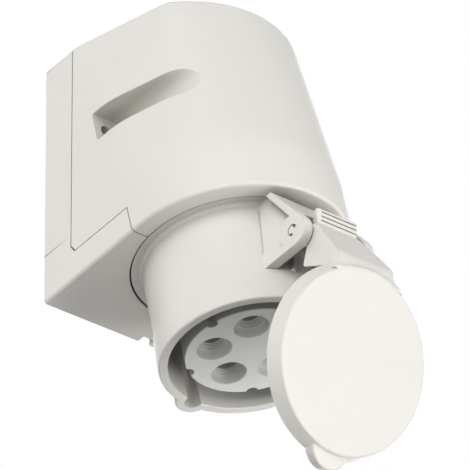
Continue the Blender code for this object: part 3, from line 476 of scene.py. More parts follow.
def sharp_edges(bm: BMesh, least: float) -> list[BMEdge]:
    """The edges of a shape whose faces meet at this angle in degrees, or more."""
    return [edge for edge in bm.edges
            if edge.is_manifold and edge.calc_face_angle(0.0) > radians(least)]


def rounded(bm: BMesh, edges: Sequence[BMEdge], radius: float, segments: int,
            clamp: bool) -> BMesh:
    """Round these edges of a shape.

    Args:
        bm: The shape.
        edges: The edges.
        radius: How wide the rounding is.
        segments: The number of its facets.
        clamp: Whether it narrows where two roundings would overlap.

    Returns:
        The same shape.
    """
    bmesh.ops.bevel(bm, geom=list(edges), offset=radius, offset_type="OFFSET", segments=segments,
                    profile=0.5, affect="EDGES", clamp_overlap=clamp, material=-1)
    return bm


def at_level(level: float) -> Callable[[BMEdge], bool]:
    """Make a test of whether an edge lies at a level."""
    return lambda edge: all(abs(vert.co.z - level) < TOUCH for vert in edge.verts)


def worked(base: BMesh, steps: Iterable[tuple[Work, BMesh]]) -> BMesh:
    """Cut, join or intersect a solid with others, one after another.

    Args:
        base: The solid that is worked.
        steps: What is done, and with which solid.

    Returns:
        The solid that results. The faces that a tool left have Face.TOOL as material index.
    """
    marks = [bpy.data.materials.new("mark") for _ in Face]
    target = placed("worked", mesh_of("worked", base, marks))
    tools = []
    for work, tool in steps:
        for face in tool.faces:
            face.material_index = Face.TOOL.value if work is Work.CUT else Face.SKIN.value
        other = placed("tool", mesh_of("tool", tool, marks))
        tools.append(other)
        modifier = target.modifiers.new("work", "BOOLEAN")
        modifier.operation = work.value
        modifier.solver = "EXACT"
        modifier.object = other
    graph = bpy.context.evaluated_depsgraph_get()
    mesh = bpy.data.meshes.new_from_object(target.evaluated_get(graph))
    made = bmesh.new()
    made.from_mesh(mesh)
    for old in (target, *tools):
        bpy.data.meshes.remove(old.data)
    bpy.data.meshes.remove(mesh)
    for mark in marks:
        bpy.data.materials.remove(mark)
    return made


def mesh_of(name: str, bm: BMesh, materials: Iterable[Material]) -> Mesh:
    """Turn a shape into a mesh.

    Args:
        name: The mesh's name.
        bm: The shape, which is freed.
        materials: The materials that its faces' indices stand for.

    Returns:
        The mesh.
    """
    mesh = bpy.data.meshes.new(name)
    bm.to_mesh(mesh)
    bm.free()
    for material in materials:
        mesh.materials.append(material)
    return mesh


def placed(name: str, data: ID) -> Object:
    """Put an object with this name and data into the scene.

    Args:
        name: Its name.
        data: Its mesh, lamp or camera.

    Returns:
        The object.
    """
    made = bpy.data.objects.new(name, data)
    bpy.context.scene.collection.objects.link(made)
    return made


def each(work: Work, *tools: BMesh) -> list[tuple[Work, BMesh]]:
    """The steps that do the same work with each of these solids."""
    return [(work, tool) for tool in tools]


def on_rim(edge: BMEdge) -> bool:
    """Tell whether an edge lies between the skin and a face that a tool cut."""
    indices = {face.material_index for face in edge.link_faces}
    return len(indices) > 1


def on_circle(centre: Point, radius: float, turn: float) -> Point:
    """The point of a circle at an angle in radians."""
    return centre[0] + radius * cos(turn), centre[1] + radius * sin(turn)


def arc(centre: Point, radius: float, start: float, end: float, count: int) -> list[Point]:
    """The points of an arc in so many steps, both ends included, its angles in radians."""
    return [on_circle(centre, radius, start + (end - start) * step / count)
            for step in range(count + 1)]


def mixed(start: Sequence[float], end: Sequence[float], share: float) -> tuple[float, ...]:
    """The point that lies this share of the way from start to end."""
    return tuple(a + (b - a) * share for a, b in zip(start, end))


def wall_y(level: float, depth: float = 0.0) -> float:
    """The y, at a level, of the plane that lies this deep in front of the wall."""
    return (depth - AXIS_STAND_OFF - level * sin(TILT)) / cos(TILT)


def piece(name: str, bm: BMesh, stands_for: str, finish: Finish = HOUSING_PLASTIC,
          lie: Matrix = OUTLET, body: Body = Body.BASE, crease: float = 38.0) -> None:
    """Turn a shape into a finished piece of the object.

    Args:
        name: The piece's name.
        bm: Its shape in millimetres, which is freed.
        stands_for: The CAD node that it replaces.
        finish: Its finish.
        lie: Its place in the scene.
        body: The body that it rides on.
        crease: The angle in degrees above which an edge stays sharp.
    """
    bm.transform(lie)
    for face in bm.faces:
        face.material_index = 0
        face.smooth = True
    mesh = mesh_of(name, bm, [finish.material()])
    mesh.set_sharp_from_angle(angle=radians(crease))
    made = placed(name, mesh)
    weighted = made.modifiers.new("even shading", "WEIGHTED_NORMAL")
    weighted.keep_sharp = True
    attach(made, body.value)
    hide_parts(stands_for)
    LOG.info("piece %s: %d faces, rides on %s", name, len(mesh.polygons), body.value)


# ---- housing


@dataclass
class Housing:
    """The wall housing: a back box and a front cover, split from one lofted shell."""

    half_width: float = 41.99
    wall: float = 2.6
    band_height: float = 19.0
    band_blend: float = 5.0
    top_vertex_y: float = -11.3
    top_taper: float = radians(18.4)
    top_side_blend: float = 20.0
    top_corner: float = 8.0
    top_front_radius: float = 48.0
    top_front_y: float = 33.7
    bottom_round: float = 1.3
    top_round: float = 1.7
    back_round: float = 1.3
    mouth_radius: float = 35.0
    gap: float = 0.3
    seam_depth: float = 13.0
    strip_height: float = 9.8
    strip_end_y: float = -4.5
    hook: float = 2.7
    channel_start_y: float = -11.0
    channel_level: float = -49.2
    channel_height: float = 11.0
    channel_depth: float = 13.7
    screw_inset: float = 5.9
    screw_level: float = -49.5
    screw_hole: float = 2.6
    head_depth: float = 4.0
    thread_hole: float = 1.9
    thread_end: float = 15.8
    boss_wall: float = 1.9
    fixing_x: float = 29.0
    fixing_z: float = 34.0
    fixing_hole: float = 2.6
    cable_z: float = 21.0
    cable_hole: float = 10.0
    drain_x: float = 3.75
    drain: Place = (4.9, 5.2, 5.4)
    rim_round: float = 0.35
    seam_round: float = 0.22
    rim_weld: float = 0.12
    rim_angle: float = 25.0
    channel_rim_angle: float = 58.0
    flank: float = radians(1.2)

    def __post_init__(self) -> None:
        """Work out the circles of the top outline."""
        self.length = WALL_FACE_HEIGHT * cos(TILT) - 0.04
        along = Vector((-sin(self.top_taper), cos(self.top_taper)))
        facing = Vector((cos(self.top_taper), sin(self.top_taper)))
        inset = self.half_width * facing.x + self.top_vertex_y * facing.y - self.top_corner
        self.front_centre = (0.0, self.top_front_y - self.top_front_radius)
        offset = facing * inset - Vector(self.front_centre)
        run = offset.dot(along)
        reach = self.top_front_radius - self.top_corner
        travel = -run + sqrt(run ** 2 - offset.length_squared + reach ** 2)
        corner = facing * inset + along * travel
        self.corner_centre = (corner.x, corner.y)
        self.corner_end = atan2(corner.y - self.front_centre[1], corner.x)
        self.side_centre = (
            self.half_width - self.top_side_blend,
            self.top_vertex_y - self.top_side_blend * tan(self.top_taper / 2),
        )

    def facings(self) -> list[float]:
        """The directions, from side to front, at which the outlines are sampled.

        Returns:
            The directions in radians.
        """
        side = [self.top_taper * step / 6 for step in range(5)]
        flanks = [self.top_taper + self.flank * step / 2 for step in (-2, -1, 0, 1, 2)]
        turn = self.corner_end - flanks[-1]
        rest = pi / 2 - self.corner_end
        corner = [flanks[-1] + turn * (step + 1) / 12 for step in range(12)]
        front = [self.corner_end + rest * (step + 1) / 12 for step in range(12)]
        return side + flanks + corner + front

    def top_point(self, facing: float) -> Point:
        """The top outline's point that faces this way.

        Args:
            facing: The direction in radians.

        Returns:
            The point.
        """
        if facing <= self.top_taper - self.flank:
            return on_circle(self.side_centre, self.top_side_blend, facing)
        if facing >= self.corner_end:
            return on_circle(self.front_centre, self.top_front_radius, facing)
        if facing >= self.top_taper + self.flank:
            return on_circle(self.corner_centre, self.top_corner, facing)
        share = (facing - self.top_taper + self.flank) / (2 * self.flank)
        start = on_circle(self.side_centre, self.top_side_blend, self.top_taper)
        end = on_circle(self.corner_centre, self.top_corner, self.top_taper)
        return mixed(start, end, share)

    def share(self, level: float) -> float:
        """How far, from 0 to 1, a level is from the round band to the top outline.

        Args:
            level: The level.

        Returns:
            The share.
        """
        depth, half = -level - self.band_height, self.band_blend / 2
        if depth <= -half:
            return 0.0
        eased = (depth + half) ** 2 / (2 * self.band_blend) if depth < half else depth
        return eased / (self.length - self.band_height)

    def outline(self, level: float, inset: float, back: float) -> list[Vector]:
        """The housing's outline at a level.

        Args:
            level: The level.
            inset: How far the outline is drawn in, except at its back.
            back: How deep in front of the wall its back lies.

        Returns:
            The outline's points.
        """
        share = self.share(level)
        half = [(self.half_width - inset, wall_y(level, back))]
        for facing in self.facings():
            low = on_circle((0.0, 0.0), self.half_width, facing)
            x, y = mixed(low, self.top_point(facing), share)
            half.append((x - inset * cos(facing), y - inset * sin(facing)))
        half[-1] = (0.0, half[-1][1])
        mirrored = [(-x, y) for x, y in reversed(half[:-1])]
        return [Vector((x, y, level)) for x, y in half + mirrored]

    def form(self, levels: Sequence[float], inset: float, back: float) -> BMesh:
        """Extrude the outline, with this inset and back, from level to level."""
        return grown_loops([self.outline(level, inset, back) for level in levels])

    def outer_levels(self) -> list[float]:
        """The levels of the outer form, close together where the band turns into the flanks.

        Returns:
            The levels, from the mouth to the top.
        """
        half = self.band_blend / 2
        bend = [-self.band_height + half * share / 4 for share in range(4, -5, -1)]
        start = self.band_height + half
        rest = [-start - (self.length - start) * step / 8 for step in range(1, 9)]
        return [0.0, *bend, *rest]

    def outer(self) -> BMesh:
        """The outer form, with its bottom, top and back edges rounded.

        Returns:
            The closed shape.
        """
        bm = self.form(self.outer_levels(), 0.0, 0.0)

        def at_back(edge: BMEdge) -> bool:
            """Tell whether an edge lies on the wall face."""
            return all(abs(vert.co.y - wall_y(vert.co.z)) < TOUCH for vert in edge.verts)

        soften(bm, self.top_round, 5, 40.0, at_level(-self.length))
        soften(bm, self.bottom_round, 4, 40.0,
               lambda edge: at_level(0.0)(edge) and not at_back(edge))
        return soften(bm, self.back_round, 4, 60.0, lambda edge: at_back(edge)
                      and abs(edge.verts[0].co.z - edge.verts[1].co.z) > 2.0)

    def hollow(self) -> BMesh:
        """The hollow inside, clear of the screw channels.

        Returns:
            The hollow's shape.
        """
        half = self.band_blend / 2
        start = self.band_height + self.band_blend
        levels = [-self.wall, -self.band_height + half, -self.band_height, -start]
        levels += [-start - (self.length - self.wall - start) * step / 4 for step in range(1, 5)]
        bm = self.form(levels, self.wall, self.wall)
        keep_clear = [solid for side in SIDES
                      for solid in (self.channel(side, self.wall), self.boss(side))]
        return worked(bm, each(Work.CUT, *keep_clear))

    def channel(self, side: int, grow: float) -> BMesh:
        """The channel that a screwdriver reaches a cover screw through.

        Args:
            side: 1 for the right, -1 for the left.
            grow: How much it is grown for its skin.

        Returns:
            The channel's shape.
        """
        radius = self.channel_height / 2 + grow
        inner = self.half_width - self.channel_depth + self.channel_height / 2
        outer = self.half_width + 3 * self.wall
        bend = arc((side * inner, self.channel_level), radius, pi / 2,
                   pi / 2 + side * pi, 18)
        outline = [(side * outer, self.channel_level + radius), *bend,
                   (side * outer, self.channel_level - radius)]
        start = self.channel_start_y - grow
        end = self.top_front_y + 2 * self.wall
        shape = plate(outline, -end, -start, ALONG_Y)
        if grow == 0.0:
            soften(shape, 0.8, 3, 60.0, lambda edge: all(
                abs(vert.co.y - start) < TOUCH for vert in edge.verts))
        return shape

    def screw_axis(self, side: int, y: float) -> Matrix:
        """The lie of a shape on a cover screw's axis, its z running to the back."""
        place = (side * (self.half_width - self.screw_inset), y, self.screw_level)
        return Matrix.Translation(place) @ ALONG_Y

    def boss(self, side: int) -> BMesh:
        """The pillar round a cover screw.

        Args:
            side: 1 for the right, -1 for the left.

        Returns:
            The pillar's shape.
        """
        depth = self.channel_start_y - wall_y(self.screw_level, self.wall / 2)
        return rod(self.screw_hole + self.boss_wall, 0.0, depth, 32,
                   self.screw_axis(side, self.channel_start_y))

    def screw_bore(self, side: int) -> BMesh:
        """The stepped hole of a cover screw.

        Args:
            side: 1 for the right, -1 for the left.

        Returns:
            The hole's shape.
        """
        start = -self.wall - self.head_depth
        shape = spun([(0.0, start), (self.screw_hole, start), (self.screw_hole, 0.3),
                      (self.thread_hole, 0.3), (self.thread_hole, self.thread_end),
                      (0.0, self.thread_end)], 32)
        shape.transform(self.screw_axis(side, self.channel_start_y - self.head_depth))
        return shape

    def seam(self, gap: float) -> BMesh:
        """The back box's share of the housing, grown by a gap.

        Args:
            gap: How far the share is grown.

        Returns:
            The share's shape.
        """
        top = -self.length - 4 * self.wall
        strip = -self.strip_height - gap
        hook = strip - self.hook
        below = 4 * self.wall
        depth = self.seam_depth + gap
        behind = wall_y(below) - 4 * self.wall
        outline = [
            (behind, top), (wall_y(top, depth), top), (wall_y(hook, depth), hook),
            (wall_y(hook, depth) + self.hook / 2, strip), (self.strip_end_y + gap, strip),
            (self.strip_end_y + gap, below), (behind, below),
        ]
        return plate(outline, -3 * self.half_width, 3 * self.half_width, ALONG_X)

    def back_holes(self) -> list[BMesh]:
        """The fixing holes, the cable hole and the drain notch, set out on the wall face.

        Returns:
            The holes' shapes.
        """
        to_outlet = OUTLET.inverted() @ WALL_FACE
        rounds = [(x * self.fixing_x, z * self.fixing_z, self.fixing_hole, 24)
                  for x in SIDES for z in SIDES]
        rounds.append((0.0, self.cable_z, self.cable_hole, 64))
        holes = [rod(radius, -10.0, 10.0, sides, Matrix.Translation((x, 0.0, z)) @ ALONG_Y)
                 for x, z, radius, sides in rounds]
        notch = bmesh.new()
        bmesh.ops.create_cube(notch, size=1.0, matrix=Matrix.Translation(
            (self.drain_x, 0.0, -WALL_FACE_HEIGHT / 2)) @ Matrix.Diagonal((*self.drain, 1.0)))
        holes.append(notch)
        for hole in holes:
            hole.transform(to_outlet)
        return holes

    def build(self) -> None:
        """Build the front cover and the back box."""
        channels = [self.channel(side, 0.0) for side in SIDES]
        parts = (
            ("front_cover_shell", "front_cover", Work.CUT, self.gap, channels, []),
            ("back_box_shell", "back_box", Work.KEEP, 0.0, [], self.back_holes()),
        )
        for name, node, work, gap, before, after in parts:
            shape = worked(self.outer(), [
                *each(Work.CUT, self.hollow(), rod(self.mouth_radius, -10.0, 10.0, 128)),
                (work, self.seam(gap)),
                *each(Work.CUT, *before, *(self.screw_bore(side) for side in SIDES), *after),
            ])
            self.ease_rims(shape)
            piece(name, shape, node)

    def ease_rims(self, bm: BMesh) -> None:
        """Round the rims that the cuts left in the outer skin.

        Args:
            bm: The shape that was cut.
        """
        bmesh.ops.remove_doubles(bm, verts=bm.verts, dist=0.02)
        rims = [edge for edge in sharp_edges(bm, self.rim_angle) if on_rim(edge)]
        found = {vert for edge in rims for vert in edge.verts}
        verts = [vert for vert in bm.verts if vert in found]
        bmesh.ops.remove_doubles(bm, verts=verts, dist=self.rim_weld)
        rims = [edge for edge in sharp_edges(bm, self.rim_angle) if on_rim(edge)]
        wide = [edge for edge in rims if self.at_channel(edge)
                and edge.calc_face_angle(0.0) > radians(self.channel_rim_angle)]
        fine = [edge for edge in rims if not self.at_channel(edge)]
        rounded(bm, fine, self.seam_round, 2, False)
        rounded(bm, [edge for edge in wide if edge.is_valid], self.rim_round, 3, False)

    def at_channel(self, edge: BMEdge) -> bool:
        """Tell whether an edge is on the rim of a screw channel.

        Args:
            edge: The edge.

        Returns:
            Whether it is.
        """
        reach = self.channel_height / 2 + 0.3
        return all(abs(vert.co.z - self.channel_level) < reach
                   and vert.co.y > self.channel_start_y - 0.5 for vert in edge.verts)


# ---- collar


@dataclass
class Collar:
    """The collar that takes the plug, with its keyway and the bracket of the lid's hinge."""

    length: float = 40.4
    root: float = 30.9
    ring_level: float = 27.7
    bore: float = 29.0
    kept_free: float = 29.8
    section: tuple[Point, ...] = (
        (29.0, 40.4), (32.2, 40.4), (32.3, 37.5), (31.95, 29.7), (31.8, 28.15), (31.4, 27.7),
        (31.28, 25.7), (31.1, 25.4), (30.9, 0.8), (31.7, -0.4), (34.4, -0.4), (34.4, -4.7),
        (38.4, -4.7), (38.4, -7.4), (26.6, -7.4), (26.6, 0.0), (29.0, 0.0),
    )
    key_x: float = -0.8
    key_y: float = -29.0
    bump: float = 6.5
    slot: float = 3.2
    slot_path: tuple[Point, ...] = ((3.0, 30.2), (28.3, 30.3), (36.0, 32.6), (43.0, 32.6))
    ear_outer: float = 16.2
    ear_inner: float = 12.1
    web: float = 1.3
    web_foot: Place = (11.4, 36.8, -2.4)
    web_flare: float = 0.0903
    web_slant: float = 0.174
    ear_top: float = 2.0
    ear_top_y: float = 36.8
    boss: float = 5.8
    field_foot: float = 17.0
    field_turns: Point = (radians(-15.0), radians(-212.0))
    bridge_thickness: float = 1.85
    tab_lean: float = radians(11.0)
    pin_hole: float = 2.2
    pin: float = 2.15
    pin_turn: float = -0.84
    pin_notch: float = 1.1
    pin_notch_depth: float = 0.8
    pin_notch_place: float = 2.1
    crease: float = 0.32
    crease_levels: Point = (3.5, 21.2)
    barrel_flare: float = 0.012
    finger: float = 1.0
    finger_low: Place = (4.9, 31.2, 22.8)
    finger_high: Place = (6.9, 31.0, 28.4)

    def __post_init__(self) -> None:
        """Work out how the plate over the ears runs to the boss."""
        away = (PIN_Y - self.ear_top_y, PIN_LEVEL - self.ear_top)
        self.lean = atan2(*away) + asin(self.boss / hypot(*away))
        self.run = (sin(self.lean), cos(self.lean))
        self.facing = (cos(self.lean), -sin(self.lean))
        self.touch = (PIN_Y + self.boss * self.facing[0], PIN_LEVEL + self.boss * self.facing[1])

    def barrel(self) -> BMesh:
        """The turned barrel with its rim, ring step, shoulder and flange.

        Returns:
            The barrel's shape.
        """
        bm = spun(self.section, 128)
        at_rim = at_level(self.length)
        soften(bm, 0.75, 4, 60.0, lambda edge: at_rim(edge) and all(
            hypot(vert.co.x, vert.co.y) > self.bore + 1.0 for vert in edge.verts))
        return soften(bm, 0.35, 3, 60.0, at_rim)

    def key_bump(self) -> BMesh:
        """The bulge outside the keyway.

        Returns:
            The bulge's shape.
        """
        shape = rod(self.bump, self.ring_level + 0.2, self.length - 0.05, 56,
                    Matrix.Translation((self.key_x, self.key_y, 0.0)))
        soften(shape, 0.75, 4, 60.0)
        return worked(shape, [(Work.CUT, rod(self.kept_free, 0.0, 60.0, 96))])

    def key_slot(self) -> BMesh:
        """The keyway, which runs out into a shallow groove below the bulge.

        Returns:
            The keyway's cutter.
        """
        loops = []
        for level, reach in self.slot_path:
            centre = (self.key_x, self.slot - reach)
            turns = [2.0 * pi * step / 40 for step in range(40)]
            loops.append([Vector((*on_circle(centre, self.slot, turn), level)) for turn in turns])
        return grown_loops(loops)

    def ear_outline(self) -> list[Point]:
        """An ear in (y, z): foot on the barrel, sloping edge, round boss, flat underside.

        Returns:
            The outline's (y, z) points.
        """
        foot = sqrt(self.root ** 2 - self.ear_outer ** 2) - 0.6
        boss = arc((PIN_Y, PIN_LEVEL), self.boss, -self.lean, pi / 2, 24)
        return [(foot, self.ear_top), (self.ear_top_y, self.ear_top), *boss,
                (foot, PIN_LEVEL + self.boss)]

    def field_outline(self, grow: float) -> list[Point]:
        """The sunk field of an ear, inside the plate's edge and the boss.

        Args:
            grow: How much the field is grown into its border.

        Returns:
            The outline's (y, z) points.
        """
        drop = self.bridge_thickness - grow
        under = (self.touch[0] - self.facing[0] * drop, self.touch[1] - self.facing[1] * drop)
        top = self.ear_top - 4.0
        back = (under[1] - top) / self.run[1]
        start = (under[0] - self.run[0] * back, top)
        near = self.boss + 0.1 - grow
        turn = -pi / 2 - self.lean + acos((self.boss - drop) / near)
        boss = arc((PIN_Y, PIN_LEVEL), near, turn + self.field_turns[0], self.field_turns[1], 14)
        return [(self.field_foot, top), start, *boss,
                (self.field_foot, self.ring_level - 7.0 + grow)]

    def field_x(self, y: float, z: float) -> float:
        """How far from the middle the sunk face of an ear lies at a point."""
        x, foot_y, foot_z = self.web_foot
        return x + self.web_flare * (z - foot_z) - self.web_slant * (y - foot_y)

    def ear(self, side: int) -> BMesh:
        """One ear: a border with a boss round a sunk, slanting web.

        Args:
            side: 1 for the right, -1 for the left.

        Returns:
            The ear's shape.
        """
        def across(outline: Sequence[Point], inner: float, outer: float) -> BMesh:
            """Extrude an outline between two distances from the middle."""
            return plate(outline, *sorted((side * inner, side * outer)), ALONG_X)

        body = across(self.ear_outline(), self.ear_inner, self.ear_outer)
        soften(body, 0.3, 2, 50.0)
        field = across(self.field_outline(0.0), self.ear_inner - 2.0, self.ear_outer + 2.0)
        slab = across(self.field_outline(0.5), 0.0, self.web)
        for vert in slab.verts:
            vert.co.x += side * (self.field_x(vert.co.y, vert.co.z) - self.web)
        return worked(body, [
            (Work.CUT, field), (Work.JOIN, slab), (Work.CUT, rod(self.kept_free, -9.0, 60.0, 96)),
        ])

    def foot_crease(self, side: int) -> BMesh:
        """The fine groove along the foot of an ear's web.

        Args:
            side: 1 for the right, -1 for the left.

        Returns:
            The groove's cutter.
        """
        ends = []
        for level in self.crease_levels:
            y = self.root
            for _ in range(6):
                x = self.field_x(y, level)
                y = sqrt((self.root + self.barrel_flare * level) ** 2 - x ** 2)
            ends.append(Vector((side * x, y, level)))
        return strut(ends[0], ends[1], self.crease, 14)

    def stop_finger(self, side: int) -> BMesh:
        """The short rounded rib on the barrel, between an ear and the lid's neck.

        Args:
            side: 1 for the right, -1 for the left.

        Returns:
            The rib's shape.
        """
        low, high = (Vector((side * x, y, level))
                     for x, y, level in (self.finger_low, self.finger_high))
        return soften(strut(low, high, self.finger, 20), 0.3, 3, 60.0)

    def bridge(self) -> BMesh:
        """The plate that joins the ears and stops the lid's tab.

        Returns:
            The plate's shape.
        """
        short = self.boss * tan(LID_OPEN + self.tab_lean - self.lean)
        back = (self.touch[1] - self.ear_top) / self.run[1]
        outline = []
        for along, drop in ((-back, 0.0), (-short, 0.0), (-short, 1.0), (-back, 1.0)):
            inward = drop * self.bridge_thickness
            outline.append((self.touch[0] + along * self.run[0] - inward * self.facing[0],
                            self.touch[1] + along * self.run[1] - inward * self.facing[1]))
        half = self.ear_outer - 1.0
        return soften(plate(outline, -half, half, ALONG_X), 0.4, 3, 50.0)

    def build(self) -> None:
        """Build the collar in one piece."""
        collar = worked(self.barrel(), [
            *each(Work.JOIN, self.key_bump(), *map(self.ear, SIDES), self.bridge()),
            *each(Work.CUT, *map(self.foot_crease, SIDES)),
            *each(Work.JOIN, *map(self.stop_finger, SIDES)),
            *each(Work.CUT, self.key_slot(), rod(self.pin_hole, -30.0, 30.0, 40, PIN_AXIS)),
        ])
        piece("plug_collar", collar, "socket_collar", crease=30.0)
        self.build_pin()

    def build_pin(self) -> None:
        """Build the hinge pin with its slotted end."""
        half = self.ear_outer - 0.25
        shape = rod(self.pin, -half, half, 48, PIN_AXIS)
        soften(shape, 0.25, 3, 60.0)
        depth = self.pin_notch_depth
        cuts = []
        for turn in (self.pin_turn, self.pin_turn + pi):
            spot = (-half, *on_circle((PIN_Y, PIN_LEVEL), self.pin_notch_place, turn))
            cuts.append(rod(self.pin_notch, -depth, depth, 24,
                            Matrix.Translation(spot) @ ALONG_X))
        piece("hinge_pin_turned", worked(shape, each(Work.CUT, *cuts)), "hinge_pin")


# ---- contact insert


@dataclass
class ContactInsert:
    """The contact carrier: a drafted boss with stepped funnel wells and edge notches."""

    radius: float = 22.9
    draft: float = 0.5
    face: float = 38.3
    flange: float = 28.6
    flange_top: float = 3.3
    flange_low: float = 0.3
    tail: float = 26.3
    tail_end: float = -14.0
    foot: float = 3.6
    pitch: float = 13.4
    earth_turn: float = radians(6.5)
    well: float = 6.0
    well_depth: float = 5.2
    lip: tuple[Point, ...] = ((0.9, 1.0), (0.38, 0.0), (0.12, -0.1), (0.0, -0.38))
    funnel: tuple[Point, ...] = (
        (0.03, 0.2), (0.1, 0.38), (0.22, 0.52), (0.36, 0.62), (0.48, 0.67), (0.505, 0.75),
        (0.66, 0.785), (0.685, 0.858), (0.83, 0.89), (0.86, 0.97),
    )
    pin_hole: float = 3.4
    earth_hole: float = 4.2
    notch: float = 2.1
    notch_depth: float = 6.0

    def around(self, index: float, radius: float) -> Point:
        """A point on a circle in the direction of a contact, 0 for the earth contact."""
        turn = self.earth_turn + index * 2 * pi / len(POLES)
        return radius * sin(turn), -radius * cos(turn)

    def bore(self, index: int) -> float:
        """The radius of a contact's hole, 0 for the earth contact."""
        return self.earth_hole if index == 0 else self.pin_hole

    def well_cutter(self, index: int) -> BMesh:
        """The hollow of one well, with the ring steps of its funnel.

        Args:
            index: The well's place in the ring, 0 for the earth contact.

        Returns:
            The cutter.
        """
        hole = self.bore(index)
        bend = self.well - hole
        face = self.face
        profile = [(0.0, face + self.lip[0][1])]
        profile += [(self.well + out, face + up) for out, up in self.lip]
        profile += [(self.well - bend * across, face - self.well_depth * down)
                    for across, down in self.funnel]
        profile += [(hole, face - self.well_depth), (hole, self.tail_end - 2.0),
                    (0.0, self.tail_end - 2.0)]
        shape = spun(profile, 48)
        bmesh.ops.translate(shape, vec=(*self.around(index, self.pitch), 0.0), verts=shape.verts)
        return shape

    def build(self) -> None:
        """Build the carrier."""
        body = spun([(0.0, self.face), (self.radius, self.face),
                     (self.radius + self.draft, self.foot), (0.0, self.foot)], 120)
        soften(body, 0.5, 4, 60.0, at_level(self.face))
        cuts = []
        for index in range(len(POLES)):
            spot = Matrix.Translation((*self.around(index + 0.5, self.radius), 0.0))
            cuts += [self.well_cutter(index),
                     rod(self.notch, self.face - self.notch_depth, self.face + 2.0, 28, spot)]
        piece("contact_carrier", worked(body, each(Work.CUT, *cuts)), "contact_insert",
              INSERT_PLASTIC, crease=30.0)
        self.build_base()

    def build_base(self) -> None:
        """Build the base under the carrier, whose flange sits on the collar's ledge."""
        body = spun([
            (0.0, self.flange_top), (self.flange, self.flange_top), (self.flange, self.flange_low),
            (self.tail, self.flange_low), (self.tail, self.tail_end), (0.0, self.tail_end),
        ], 96)
        soften(body, 0.3, 2, 60.0)
        holes = [rod(self.bore(index), self.tail_end - 2.0, 6.0, 40,
                     Matrix.Translation((*self.around(index, self.pitch), 0.0)))
                 for index in range(len(POLES))]
        piece("carrier_base", worked(body, each(Work.CUT, *holes)), "insert_base",
              INSERT_PLASTIC, crease=30.0)


# ---- lid


